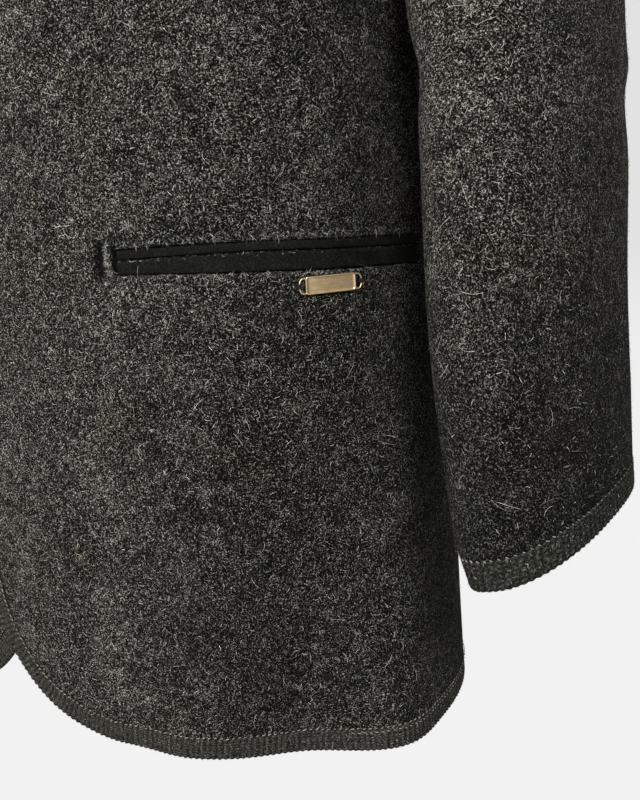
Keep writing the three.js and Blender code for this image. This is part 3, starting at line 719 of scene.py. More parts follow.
# A lighter copy of the wool for the pocket's turned edge: a painted highlight where the ridge catches the light.
WOOL_EDGE_HIGHLIGHT = wool_material(
    "turned_wool_edge_highlight", [(at, tuple(min(0.6, 2.2 * c) for c in tone)) for at, tone in WOOL_STOPS], (1.0, 0.9, 0.75)
)
FIBRES = [
    fibre_material("wool_fibre_dark", (0.0025, 0.0025, 0.0022)),
    fibre_material("wool_fibre_grey", (0.046, 0.0445, 0.039)),
    fibre_material("wool_fibre_light", (0.15, 0.1455, 0.129)),
    fibre_material("wool_fibre_pale", (0.38, 0.37, 0.33)),
]
HEM_KNIT = knit_material("hem_rib_knit", HEM_PITCH, 1.6, (0.0022, 0.0022, 0.0018), (0.112, 0.110, 0.094))
CUFF_KNIT = knit_material("cuff_rib_knit", CUFF_PITCH, 2.2, (0.0016, 0.0017, 0.0013), (0.070, 0.071, 0.059))
WELT_CLOTH = welt_material()
POCKETING = pocketing_material()
BRASS = brass_material()
HORN = horn_material()
STITCH = fibre_material("stitch_thread", (0.17, 0.166, 0.142))
DARK_THREAD = fibre_material("dark_thread", (0.010, 0.008, 0.009))


# Wool nap


def scatter(outer, count, rng, weight):
    """Random points of a grid's surface with their unit normals, by area and a weight per cell."""
    a, b, c, d = outer[:-1, :-1], outer[:-1, 1:], outer[1:, 1:], outer[1:, :-1]
    normal = np.cross(c - a, d - b) / 2
    area = np.linalg.norm(normal, axis=-1)
    share = (area * weight).ravel()
    picked = rng.choice(share.size, count, p=share / share.sum())
    s, t = rng.random((2, count, 1))
    corners = [x.reshape(-1, 3)[picked] for x in (a, b, c, d)]
    point = (corners[0] * (1 - s) + corners[1] * s) * (1 - t) + (corners[3] * (1 - s) + corners[2] * s) * t
    return point, unit(normal.reshape(-1, 3)[picked])


def fibre_mesh(name, point, normal, rng, length, width, lift, curl, shares, segments):
    """Curled flat fibres that lie on a surface.

    length, width and lift are low and high limits; shares are those of the four tones.
    """
    count = len(point)
    helper = np.where(np.abs(normal[:, 2:]) < 0.8, [[0, 0, 1.0]], [[1.0, 0, 0]])
    across = unit(np.cross(helper, normal))
    upward = np.cross(normal, across)
    size = rng.uniform(*length, (count, 1))
    turn = rng.normal(0, curl, (count, 1))
    heading = rng.uniform(0, 2 * np.pi, (count, 1))
    high = rng.uniform(*lift, (count, 1))
    wide = rng.uniform(*width, (count, 1)) / 2
    places = []
    at = np.zeros((count, 2))
    for k in range(segments + 1):
        t = k / segments
        angle = heading + turn * (t - 0.5)
        direction = np.concatenate([np.cos(angle), np.sin(angle)], 1)
        if k:
            at = at + direction * size / segments
        side = np.concatenate([-np.sin(angle), np.cos(angle)], 1) * wide * (1 if k < segments else 0.35)
        rise = 0.12 + high * math.sin(math.pi * min(1, 0.12 + t * 0.88))
        middle = point + across * at[:, :1] + upward * at[:, 1:] + normal * rise
        offset = across * side[:, :1] + upward * side[:, 1:]
        places += [middle - offset, middle + offset]
    points = np.stack(places, 1).reshape(-1, 3)
    first = np.arange(count)[:, None] * (2 * (segments + 1))
    faces = np.stack([first + 2 * k + [0, 1, 3, 2] for k in range(segments)], 1).reshape(-1, 4)
    mesh = make_mesh(name, points, faces)
    tone = rng.choice(len(shares), count, p=shares)
    mesh.polygons.foreach_set("material_index", np.repeat(tone, segments).astype(np.int32))
    return mesh


def fibre_kind(length, width, lift, curl, shares, segments=2):
    return {"length": length, "width": width, "lift": lift, "curl": curl, "shares": shares, "segments": segments}


NAP = fibre_kind((1.0, 3.6), (0.09, 0.20), (0.0, 0.6), 1.5, (0.30, 0.34, 0.25, 0.11))
FUZZ = fibre_kind((0.6, 1.8), (0.07, 0.14), (0.0, 0.5), 1.6, (0.35, 0.35, 0.22, 0.08))
# Fibres for the pocket's ridge, more of them light: a painted highlight.
LIT_EDGE_NAP = fibre_kind((0.8, 2.2), (0.10, 0.20), (0.0, 0.5), 1.6, (0.1, 0.3, 0.4, 0.2))
HAIRS = fibre_kind((5.0, 11.0), (0.08, 0.14), (0.2, 1.4), 1.2, (0.0, 0.25, 0.5, 0.25), 6)


def add_nap(name, outer, count, seed, weight=1.0, kind=NAP):
    """Fibres over a panel's outer side, in uneven tufts; the panels are convex, so out is away from their middle."""
    rng = np.random.default_rng(seed)
    cells = (outer.shape[0] - 1, outer.shape[1] - 1)
    tufts = (0.3 + 1.4 * rng.random(cells) ** 2) * weight
    point, normal = scatter(outer, count, rng, tufts)
    if np.sum(normal * (point - point.mean(0))) < 0:
        normal = -normal
    return add_piece(name, fibre_mesh(name, point, normal, rng, **kind), FIBRES)


# Pieces

# Each side's sign and how far its front is lifted over the other
SIDES = {"left": (1, OVERLAP_LIFT), "right": (-1, 0)}

# Grid pitches, stations to a rib and fibre counts, which are finer on the side that the photograph shows
DETAIL = {
    "left": {"front": 5.0, "sleeve": 5.0, "stations": 6, "front_nap": 42000, "front_hairs": 500, "sleeve_hairs": 450,
             "sleeve_upper": 24500, "sleeve_under": 3000, "band_fuzz": 7000, "cuff_fuzz": 4500},
    "right": {"front": 9.0, "sleeve": 8.0, "stations": 3, "front_nap": 5500, "front_hairs": 200, "sleeve_hairs": 200,
              "sleeve_upper": 4500, "sleeve_under": 2000, "band_fuzz": 1500, "cuff_fuzz": 1000},
}
# Fibre counts of the other pieces
COUNTS = {"welt_fuzz": 260, "ridge_nap": 500, "back_nap": 7500, "collar_nap": 1500}


def mirrored(points, side):
    return points * np.array([SIDES[side][0], 1, 1])


def front_point(side, angle, level, out):
    """A point of one front, in that front's own mirror image."""
    over = SIDES[side][1] * (1 - step(*LIFT_FADE, body_form(angle, level)[..., 0]))
    return mirrored(body_point(angle, level, out + over, side == "right"), side)


def back_point(angle, level, out):
    """A point of the back at an angle that runs on past the middle of the back to the wearer's right."""
    right = angle > np.pi
    point = body_point(np.where(right, 2 * np.pi - angle, angle), level, out, right)
    point[..., 0] *= np.where(right, -1, 1)
    return point


FINE_ANGLES = np.linspace(0, np.pi * 0.75, 1200)
POCKET_LENGTHS = lengths_of(body_form(FINE_ANGLES, POCKET_LEVEL))
POCKET_END = POCKET_START + POCKET_LENGTH
WINDOW_TOP = POCKET_LEVEL + POCKET_UPPER
WINDOW_BOTTOM = POCKET_LEVEL - POCKET_LOWER


def outside(value, low, high):
    """How far values lie outside an interval."""
    return np.maximum(0, np.maximum(low - value, value - high))


def pocket_angle(length):
    """The angle at one distance from the centre front, measured round the body at the pocket's level."""
    return np.interp(length, POCKET_LENGTHS, FINE_ANGLES)


# How far the pocket's top edge, slit and bottom edge stand off their levels along it, as the cloth pulls
POCKET_SHARES = [0.0, 0.2, 0.4, 0.7, 1.0]
POCKET_TOP = smooth_curve(POCKET_SHARES, [0.0, 1.9, 2.8, 1.2, -1.7])
POCKET_MIDDLE = smooth_curve(POCKET_SHARES, [1.1, 3.2, 4.3, 2.4, -1.1])
POCKET_BOTTOM = smooth_curve(POCKET_SHARES, [1.6, 2.1, 2.0, 0.2, -2.8])


def pocket_shift(length, level):
    """The pocket's pull on the cloth around it, fading out away from the window."""
    share = np.clip((length - POCKET_START) / POCKET_LENGTH, 0, 1)
    high, middle, low = WINDOW_TOP, POCKET_LEVEL, WINDOW_BOTTOM
    above = mix(POCKET_MIDDLE(share), POCKET_TOP(share), np.clip((level - middle) / (high - middle), 0, 1))
    below = mix(POCKET_MIDDLE(share), POCKET_BOTTOM(share), np.clip((middle - level) / (middle - low), 0, 1))
    fade = (1 - step(4, 70, outside(level, low, high))) * (1 - step(0, 40, outside(length, POCKET_START, POCKET_END)))
    return np.where(level > middle, above, below) * fade


def front_levels(inset, pitch):
    lowest = -BODY_LENGTH + inset
    corner = -BODY_LENGTH + CORNER_RADIUS
    low = mix(lowest, corner, 1 - np.cos(np.linspace(0, np.pi / 2, 25)))
    middle = spaced(corner, UNDERARM_LEVEL, pitch, (WINDOW_BOTTOM, WINDOW_TOP))
    middle = middle[(middle - corner > 4.9) & (UNDERARM_LEVEL - middle > 3.9)]
    high = mix(UNDERARM_LEVEL, SHOULDER_LEVEL, (1 - np.cos(np.linspace(0, np.pi, 37))) / 2)
    neck = spaced(SHOULDER_LEVEL, 0, 5.0)
    return np.concatenate([low, middle, high, neck[neck > SHOULDER_LEVEL + 2]])


def build_front(side):
    inset = BAND_WIDTH - SEAM_OVERLAP
    pitch = DETAIL[side]["front"]
    levels = front_levels(inset, pitch)
    low = angle_at(front_edge(levels, inset), levels)
    high = side_angle(levels) - FRONT_NOTCH * armhole_cut(levels) - seam_angle(levels)
    finish = np.interp(high[np.argmin(np.abs(levels - POCKET_LEVEL))], FINE_ANGLES, POCKET_LENGTHS)
    edge = -OVERLAP + inset
    groove = POCKET_START - RIDGE_REACH
    ends = (POCKET_START, POCKET_END)
    lengths = spaced(edge, finish, pitch, (groove, *ends))
    share = (lengths - edge) / (finish - edge)
    knots = np.interp(ends, lengths, share)
    near = (1 - step(20, 110, np.abs(levels - POCKET_LEVEL)))[:, None]
    plain = low[:, None] + (high - low)[:, None] * knots
    fixed = plain + (pocket_angle(ends) - plain) * near
    angles = np.stack([np.interp(share, [0, *knots, 1], [a, *f, b]) for a, f, b in zip(low, fixed, high)])
    grid = levels[:, None] + pocket_shift(lengths, levels[:, None])

    def point_at(out):
        return front_point(side, angles, grid, out)

    in_window = (levels > WINDOW_BOTTOM - 0.01) & (levels < WINDOW_TOP + 0.01)
    in_length = (lengths > POCKET_START - 0.01) & (lengths < POCKET_END + 0.01)
    keep = ~((in_window[:-1] & in_window[1:])[:, None] & (in_length[:-1] & in_length[1:]))
    beyond = outside(lengths, POCKET_START, POCKET_END)
    along_pocket = beyond < 0.1
    holes = np.hypot(beyond, outside(levels, WINDOW_BOTTOM, WINDOW_TOP)[:, None])
    tall = 1 - step(8, 13, np.abs(levels - POCKET_LEVEL + 0.7))[:, None]
    # Painted shade and shadow: the groove beside the pocket's ridge, the hollow at its front end, a line under the
    # wool above the window, and the seams.
    beside = bump(lengths, groove, 2.6) * tall
    inside = bump(lengths, POCKET_START - 0.6, 1.5) * tall
    top_edge = bump(levels, WINDOW_TOP + 4.6, 0.9)[:, None] * along_pocket
    near_seam = bump(edge_distance(point_at(np.zeros(grid.shape))), 0.6, 1.5)
    # Painted shade over the middle of the front, stronger below the pocket.
    painted_front_shade = FRONT_PAINTED_SHADE * step(90, 150, lengths) * (0.4 + 0.6 * step(POCKET_LEVEL, POCKET_LEVEL - 60, grid))
    shade = np.clip(1.1 * beside + 1.1 * inside + 0.6 * top_edge + 0.95 * near_seam, painted_front_shade, 1)
    piece, outer = build_shell(f"front_panel_{side}", point_at, angles.shape, WOOL, WOOL_CLOTH,
                               [f"front_{side}"], keep=keep, holes=holes, relief=-1.5 * beside - 0.4 * top_edge,
                               shade=shade)
    lips = bump(levels, WINDOW_TOP + 1.6, 1.5) + bump(levels, WINDOW_BOTTOM - 1.2, 1.3)
    lively = 1 + 3.0 * lips[:, None] * along_pocket
    return piece, outer, keep * ((1 - np.minimum(1, 1.3 * shade)) * lively)[:-1, :-1]


def build_back():
    pitch, width = 10.0, 560
    levels = front_levels(BAND_WIDTH - SEAM_OVERLAP, pitch)
    low = side_angle(levels) + BACK_NOTCH * armhole_cut(levels) + seam_angle(levels)
    share = spaced(0, width, pitch) / width
    ends = np.minimum(share, 1 - share) * width
    sides = np.minimum(levels - levels[0], -levels)
    # Painted shadow along the panel's edges, beside its seams.
    shade = 0.8 * bump(np.minimum(ends, sides[:, None]), 0, 1.6)
    angles = low[:, None] + (2 * np.pi - 2 * low)[:, None] * share
    grid = np.broadcast_to(levels[:, None], angles.shape)
    return build_shell("back_panel", lambda out: back_point(angles, grid, out), angles.shape, WOOL,
                       WOOL_CLOTH, ["back"], shade=shade)


def build_sleeve(side, name, start, end, width):
    cap = spaced(BICEP_LEVEL, SHOULDER_LEVEL, 4.5)
    pitch = DETAIL[side]["sleeve"]
    arm = spaced(CUFF_LEVEL + CUFF_BAND_WIDTH - SEAM_OVERLAP, BICEP_LEVEL, pitch)
    levels = np.concatenate([arm[arm < BICEP_LEVEL - 4.9], cap[(cap == BICEP_LEVEL) | (cap > BICEP_LEVEL + 4)]])
    gap = -SEAM_OVERLAP / (2 * np.pi * sleeve_short(np.minimum(levels, BICEP_LEVEL)))
    share = spaced(0, width, pitch) / width
    around = (start + gap)[:, None] + (end - start - 2 * gap)[:, None] * share
    grid = np.broadcast_to(levels[:, None], around.shape)
    # Painted shade: darker towards the cuff, and a dark line along the seam to the cuff band.
    shade = np.maximum(SLEEVE_PAINTED_SHADE * step(-400, -590, grid), 0.85 * bump(levels, levels[0], 1.6)[:, None])
    piece, outer = build_shell(f"{name}_panel_{side}", lambda out: mirrored(sleeve_point(around, grid, out), side),
                               around.shape, WOOL, WOOL_CLOTH, [f"{name}_{side}"], shade=shade)
    return piece, outer, (1 - shade)[:-1, :-1]


def rib_relief(phase, across, width, seed):
    """Ribs across a band, uneven and weaker towards the seam, and the bare wave that they follow."""
    rng = np.random.default_rng(seed)
    count = int(phase.max()) + 2
    strong = rng.uniform(0.75, 1.15, count)[np.floor(phase).astype(int)][:, None]
    wave = -np.cos(2 * np.pi * phase)[:, None] * strong
    loops = 0.06 * np.sin(2 * np.pi * across / 1.9 + 5 * phase[:, None])
    relief = RIB_HEIGHT * wave * (1 - 0.4 * step(width - 3, width, across)) + loops
    return relief, wave


def build_band(name, path, length, replaces, seed, stations=6, cuff=False):
    """A rib-knit band, closed to a ring at a cuff. path(along, across, out) gives points; all are millimetres."""
    width, pitch, material = (CUFF_BAND_WIDTH, CUFF_PITCH, CUFF_KNIT) if cuff else (BAND_WIDTH, HEM_PITCH, HEM_KNIT)
    ribs = round(length / pitch)
    phase = np.arange(ribs * stations + (0 if cuff else 1)) / stations
    along = phase / ribs * length
    across = ACROSS * width / ACROSS[-1]
    relief, wave = rib_relief(phase, across, width, seed)
    place = across - 0.16 * wave * np.clip(1 - across / 2.5, 0, 1)
    grid = np.broadcast_to(along[:, None], place.shape)
    near = np.minimum(across, across[-1] - across)
    sink = np.broadcast_to(rounded(near, 1.4), place.shape)
    if not cuff:
        ends = np.minimum(along, along[-1] - along)
        sink = np.maximum(sink, rounded(ends, 0.8)[:, None])
    outer = path(grid, place, relief - sink)
    inner = path(grid, place, -BAND + 0.35 * relief + np.minimum(sink, BAND / 2))
    uv = np.stack([np.broadcast_to((phase * pitch)[:, None], place.shape), np.broadcast_to(across, place.shape)], -1)
    if cuff:
        outer, inner, uv = (value.transpose(1, 0, 2) for value in (outer, inner, uv))
    faces = shell_faces(*outer.shape[:2], ring=cuff)
    points = np.concatenate([outer.reshape(-1, 3), inner.reshape(-1, 3)])
    if signed_volume(points, faces) < 0:
        faces = faces[:, ::-1]
    mesh = make_mesh(name, points, faces)
    layer = mesh.uv_layers.new(name="cloth")
    corner = np.empty(len(mesh.loops), np.int32)
    mesh.loops.foreach_get("vertex_index", corner)
    both = np.tile(uv.reshape(-1, 2), (2, 1))
    layer.data.foreach_set("uv", both[corner].astype(np.float32).ravel())
    return add_piece(name, mesh, material, replaces), outer


def band_stretch(part, across):
    """Angle and level of the front band's path: 0 to 1 down the edge, to 2 round the corner, to 3 along the hem."""
    corner_level = -BODY_LENGTH + CORNER_RADIUS
    radius = CORNER_RADIUS - across
    turn = np.clip(part - 1, 0, 1) * np.pi / 2
    level = np.where(part < 1, mix(0, corner_level, np.clip(part, 0, 1)), corner_level - radius * np.sin(turn))
    x = np.where(part < 1, -OVERLAP + across, -OVERLAP + CORNER_RADIUS - radius * np.cos(turn))
    angle = angle_at(x, level)
    hem_level = -BODY_LENGTH + across
    start = angle_at(-OVERLAP + CORNER_RADIUS, -BODY_LENGTH)
    hem_angle = mix(start, side_angle(hem_level) - seam_angle(hem_level), np.clip(part - 2, 0, 1))
    return np.where(part > 2, hem_angle, angle), np.where(part > 2, hem_level, level)


FINE_PARTS = np.concatenate([np.linspace(0, 1, 500), np.linspace(1, 2, 200)[1:], np.linspace(2, 3, 300)[1:]])


def front_band_length():
    angle, level = band_stretch(FINE_PARTS, np.full_like(FINE_PARTS, BAND_WIDTH / 2))
    return lengths_of(front_point("right", angle, level, np.zeros_like(angle)))


BAND_LENGTHS = front_band_length()


def front_band_path(side):
    def path(along, across, out):
        part = np.interp(along, BAND_LENGTHS, FINE_PARTS)
        return front_point(side, *band_stretch(part, across), out)
    return path


BACK_HEM_START = float(side_angle(-BODY_LENGTH) + seam_angle(-BODY_LENGTH))
BACK_HEM_ANGLES = np.linspace(BACK_HEM_START, 2 * np.pi - BACK_HEM_START, 800)


BACK_LENGTHS = lengths_of(back_point(BACK_HEM_ANGLES, -BODY_LENGTH + 6.0, 0 * BACK_HEM_ANGLES))


def back_band_path(along, across, out):
    angle = np.interp(along, BACK_LENGTHS, BACK_HEM_ANGLES)
    return back_point(angle, -BODY_LENGTH + across, out)


CUFF_AROUND = np.linspace(0, 1, 400)
CUFF_LENGTHS = lengths_of(sleeve_point(CUFF_AROUND, CUFF_LEVEL + 7.0, 0 * CUFF_AROUND))


def cuff_path(side):
    def path(along, across, out):
        around = np.interp(along, CUFF_LENGTHS, CUFF_AROUND)
        return mirrored(sleeve_point(around, CUFF_LEVEL + across, out), side)
    return path


def collar_point(angle, height, out):
    right = angle > np.pi
    base = body_form(np.where(right, 2 * np.pi - angle, angle), np.zeros_like(angle))
    outward = unit(base * np.array([1, 1, 0]))
    point = base + outward * (out + COLLAR_LEAN * height)[..., None]
    point[..., 2] += height
    point[..., 0] *= np.where(right, -1, 1)
    return point


COLLAR_START = float(angle_at(COLLAR_HALF_OPENING, 0))


def collar_place(share, height):
    corner = step(COLLAR_HEIGHT - 16, COLLAR_HEIGHT + 4, height) * 0.16
    return mix(COLLAR_START + corner, 2 * np.pi - COLLAR_START - corner, share)


COLLAR_SHARE = np.linspace(0, 1, 600)
COLLAR_LENGTHS = lengths_of(collar_point(collar_place(COLLAR_SHARE, 35.0), 35.0, 0 * COLLAR_SHARE))


def collar_band_path(along, across, out):
    share = np.interp(along, COLLAR_LENGTHS, COLLAR_SHARE)
    height = COLLAR_HEIGHT - across
    return collar_point(collar_place(share, height), height, out)


def build_collar():
    height = spaced(-COLLAR_TUCK, COLLAR_HEIGHT - BAND_WIDTH + SEAM_OVERLAP, 4.0)
    share = spaced(0, 400, 5.0) / 400
    tall = np.broadcast_to(height[:, None], (len(height), len(share)))
    angles = collar_place(share[None, :], tall)
    return build_shell("collar_stand", lambda out: collar_point(angles, tall, out), tall.shape, WOOL,
                       WOOL_CLOTH, ["collar"])


def front_strip(name, side, ends, low, high, out, thickness, pitch, material, replaces, radius, relief=None):
    """A strip that follows a front between two lengths and two levels, moved out by one distance."""
    lengths = spaced(*ends, pitch)
    levels = spaced(low, high, max(1.2, (high - low) / 40))
    angles = np.broadcast_to(pocket_angle(lengths), (len(levels), len(lengths)))
    grid = levels[:, None] + pocket_shift(lengths, levels[:, None])
    bend = relief(lengths, levels[:, None]) if relief else 0
    return build_shell(name, lambda depth: front_point(side, angles, grid, out + depth), angles.shape, thickness,
                       material, replaces, radius=radius, relief=bend)


def build_pocket(side):
    ends = (POCKET_START + SEAM_GAP, POCKET_END - SEAM_GAP)

    def swell(lengths, levels):
        return 0.35 * np.sin(lengths / 11.0) * np.sin(lengths / 4.3) + 0 * levels

    pieces = []
    for part, low, high in (
        ("upper", POCKET_LEVEL + POCKET_SLIT / 2, WINDOW_TOP - SEAM_GAP),
        ("lower", WINDOW_BOTTOM + SEAM_GAP, POCKET_LEVEL - POCKET_SLIT / 2),
    ):
        out = -POCKET_RECESS + WELT_OUT[part]
        piece, outer = front_strip(f"pocket_welt_{part}_{side}", side, ends, low, high, out, WELT_THICKNESS, 3.0,
                                   WELT_CLOTH, [f"welt_{part}_{side}"], 1.2, swell)
        pieces.append(piece)
    rows, columns = outer.shape[0] - 1, outer.shape[1] - 1
    lip = step(0.8, 0.97, np.arange(rows) / (rows - 1))[:, None] * np.ones(columns)
    add_nap(f"welt_fuzz_{side}", outer, COUNTS["welt_fuzz"], 62, lip, FUZZ)
    top = WINDOW_TOP + BAG_MARGIN
    ends = (POCKET_START - BAG_MARGIN, POCKET_END + BAG_MARGIN)
    bag, _ = front_strip(f"pocket_pouch_{side}", side, ends, top - BAG_HEIGHT, top, -BAG_IN, BAG_THICKNESS, 6.0,
                         POCKETING, [f"pocket_bag_{side}"], 0.8)
    return pieces, bag


def capsule_rings(sides):
    """Points and quads of a small rounded rod of unit size along X."""
    places = np.array([-0.5, -0.42, -0.2, 0.2, 0.42, 0.5])
    sizes = np.array([0.15, 0.75, 1.0, 1.0, 0.75, 0.15])
    turn = np.linspace(0, 2 * np.pi, sides, endpoint=False)
    ring = np.stack([0 * turn, np.cos(turn), np.sin(turn)], -1)
    middles = np.stack([places, 0 * places, 0 * places], -1)
    points = (ring * sizes[:, None, None] + middles[:, None]).reshape(-1, 3)
    return points, ring_faces(len(places), sides)


def place_many(name, middles, along, normal, lengths, widths, material, sides=5):
    """Copies of a small rod at many places, as one mesh."""
    base, quads = capsule_rings(sides)
    side = unit(np.cross(normal, along))
    up = np.cross(along, side)
    points = (middles[:, None] + along[:, None] * base[None, :, :1] * lengths[:, None, None]
              + side[:, None] * base[None, :, 1:2] * widths[:, None, None]
              + up[:, None] * base[None, :, 2:] * widths[:, None, None] * 0.8)
    faces = quads[None] + np.arange(len(middles))[:, None, None] * len(base)
    mesh = make_mesh(name, points.reshape(-1, 3), faces.reshape(-1, 4))
    return add_piece(name, mesh, material)


def stitch_row(path, start, end, pitch, across, out, rng, lean=0.0):
    along = np.arange(start, end, pitch)
    along = along + rng.normal(0, 0.12, len(along))
    here = path(along, np.full_like(along, across) + rng.normal(0, 0.14, len(along)), np.full_like(along, out))
    ahead = path(along + 0.5, np.full_like(along, across + lean), np.full_like(along, out))
    lift = path(along, np.full_like(along, across), np.full_like(along, out + 0.5))
    base = path(along, np.full_like(along, across), np.full_like(along, out))
    return here, unit(ahead - base), unit(lift - base)


def build_stitches(name, rows, seed):
    rng = np.random.default_rng(seed)
    parts = [stitch_row(*row[:-1], rng, row[-1]) for row in rows]
    middles, along, normal = (np.concatenate([p[k] for p in parts]) for k in range(3))
    lengths = rng.uniform(1.4, 2.3, len(middles))
    widths = rng.uniform(0.22, 0.34, len(middles))
    return place_many(name, middles, along, normal, lengths, widths, STITCH)


def frame_on_front(side, angle, level, out):
    """Place and axes of a small flat piece on a front: round the body, up, and outwards."""

    def at(a, b, c=0.0):
        return front_point(side, np.array([a]), np.array([float(b)]), np.array([c]))[0]

    across = unit(at(angle + 0.01, level) - at(angle - 0.01, level)) * SIDES[side][0]
    rise = unit(at(angle, level + 2) - at(angle, level - 2))
    normal = unit(np.cross(across, rise))
    up = unit(np.cross(normal, across))
    return at(angle, level) + normal * out, across, up, normal


def in_frame(local, spot):
    place, across, up, normal = spot
    return place + local[:, :1] * across + local[:, 1:2] * up + local[:, 2:] * normal


def front_level(height):
    """The level of the centre front's point at one height."""
    levels = np.linspace(-BODY_LENGTH, 0, 4000)
    return float(np.interp(height, levels - neck_drop(levels, FRONT_NECK_DROP), levels))


def build_button(number, level):
    spot = frame_on_front("left", float(angle_at(0, level)), level, SEAM_GAP)
    place, across, up, normal = spot
    profile = np.array([
        (0.5, 0), (0.78, 0.01), (0.88, 0.08), (0.96, 0.22), (1.0, 0.42), (1.0, 0.62), (0.985, 0.8),
        (0.95, 0.93), (0.9, 0.99), (0.84, 0.99), (0.78, 0.93), (0.72, 0.8), (0.62, 0.68), (0.5, 0.6), (0.3, 0.56),
    ]) * [BUTTON_RADIUS, BUTTON_THICKNESS]
    sides = 48
    turns = np.linspace(0, 2 * np.pi, sides, endpoint=False)
    rings = np.stack([profile[:, :1] * np.cos(turns), profile[:, :1] * np.sin(turns),
                      np.broadcast_to(profile[:, 1:], (len(profile), sides))], -1)
    dish = BUTTON_THICKNESS * 0.55
    local = np.concatenate([rings.reshape(-1, 3), [[0, 0, 0.0]], [[0, 0, dish]]])
    j = np.arange(0, sides, 2)
    last = (len(rings) - 1) * sides
    bottom = np.stack([np.full(len(j), len(local) - 2), (j + 2) % sides, j + 1, j], 1)
    top = np.stack([np.full(len(j), len(local) - 1), last + j, last + j + 1, last + (j + 2) % sides], 1)
    faces = np.concatenate([ring_faces(len(rings), sides), bottom, top])
    name = f"horn_button_{number}"
    add_piece(name, make_mesh(name, in_frame(local, spot), faces), HORN, [f"button_{number}"])
    holes = np.array([(1, 1), (-1, 1), (-1, -1), (1, -1)]) * 1.75
    middles, ways = [], []
    for a, b in ((0, 2), (1, 3)):
        for shift in (-0.3, 0.3):
            way = unit((holes[b] - holes[a]).astype(float))
            middle = (holes[a] + holes[b]) / 2 + np.array([-way[1], way[0]]) * shift
            middles.append(place + middle[0] * across + middle[1] * up + normal * (dish + 0.45))
            ways.append(way[0] * across + way[1] * up)
    middles, ways = np.array(middles), np.array(ways)
    normals = np.broadcast_to(normal, middles.shape)
    place_many(f"button_thread_{number}", middles, ways, normals, np.full(4, 5.2), np.full(4, 0.33),
               DARK_THREAD, 8)


def tube(points, radii, sides):
    """A round tube through points, as points and quads."""
    ways = unit(np.gradient(points, axis=0))
    first = unit(np.cross(ways, [0.31, 0.27, 0.91]))
    second = np.cross(ways, first)
    turn = np.linspace(0, 2 * np.pi, sides, endpoint=False)
    radii = np.broadcast_to(radii, (len(points),))[:, None, None]
    cosine, sine = np.cos(turn)[:, None], np.sin(turn)[:, None]
    rings = points[:, None] + radii * (cosine * first[:, None] + sine * second[:, None])
    return rings.reshape(-1, 3), ring_faces(len(points), sides)


def gather(parts):
    points, faces, base = [], [], 0
    for p, f in parts:
        points.append(p)
        faces.append(f + base)
        base += len(p)
    return np.concatenate(points), np.concatenate(faces)


def plate_grid(length, height, corner, thickness, rim, rim_width):
    """A rounded plate with a thin raised rim, as rings from its middle out and down to its back."""
    steps = 12
    outline = []
    for quarter in range(4):
        middle = np.array([(1, 1), (-1, 1), (-1, -1), (1, -1)][quarter]) * [length / 2 - corner, height / 2 - corner]
        for k in range(steps):
            angle = (quarter + k / (steps - 1)) * np.pi / 2
            outline.append(middle + corner * np.array([np.cos(angle), np.sin(angle)]))
    outline = np.array(outline)

    def ring(inset, z):
        scale = np.array([1 - 2 * inset / length, 1 - 2 * inset / height])
        return np.concatenate([outline * scale, np.full((len(outline), 1), z)], 1)

    face = thickness
    rings = [
        ring(0.02, 0.05), ring(0, 0.2), ring(0, face + rim * 0.6), ring(0.08, face + rim * 0.92),
        ring(rim_width * 0.4, face + rim), ring(rim_width * 0.8, face + rim * 0.9), ring(rim_width, face + rim * 0.4),
        ring(rim_width * 1.25, face + 0.03), ring(rim_width * 1.9, face), ring(2.6, face),
        ring(height / 2 * 0.97, face),
    ]
    count = len(outline)
    j = np.arange(count // 2 - 1)
    back = np.stack([j + 1, j, count - 1 - j, count - 2 - j], 1)
    front = np.stack([j, j + 1, count - 2 - j, count - 1 - j], 1) + (len(rings) - 1) * count
    return np.concatenate(rings), np.concatenate([ring_faces(len(rings), count), back, front])


def build_label():
    """The bare metal plate on its two wire loops, with the thread that ties each loop down."""
    angle = float(pocket_angle(POCKET_START + LABEL_ALONG))
    spot = frame_on_front("left", angle, WINDOW_BOTTOM - LABEL_BELOW, 0.5)
    parts = [plate_grid(LABEL_LENGTH, LABEL_HEIGHT, LABEL_CORNER, LABEL_THICKNESS, LABEL_RIM, LABEL_RIM_WIDTH)]
    wraps = []
    for sign in (-1, 1):
        x0, x1 = sign * LOOP_START, sign * LOOP_END
        turns = [(t - 0.5) * np.pi for t in np.linspace(0, 1, 25)]
        bend = np.array([(mix(x0, x1, np.cos(turn) ** 0.45), 3.7 * np.sin(turn), 0.62) for turn in turns])
        parts.append(tube(bend, LOOP_WIRE, 10))
        parts.append(tube(np.array([(x0, y, 0.62) for y in np.linspace(-3.6, 3.6, 6)]), 0.3, 8))
        turn = np.linspace(0, np.pi, 9)
        x = sign * (16.4 + 0.9 * np.cos(turn))
        for shift in np.linspace(-0.9, 0.9, 5):
            wraps.append(tube(np.stack([x, np.full(9, shift), 0.1 + 0.95 * np.sin(turn)], -1), THREAD, 6))
    for name, made, slot, material, replaces in (
        ("label_plate", parts, "brass", BRASS, ["metal_label"]),
        ("label_thread", wraps, "welt", DARK_THREAD, ()),
    ):
        local, faces = gather(made)
        add_piece(name, make_mesh(name, in_frame(local, spot), faces), material, replaces)


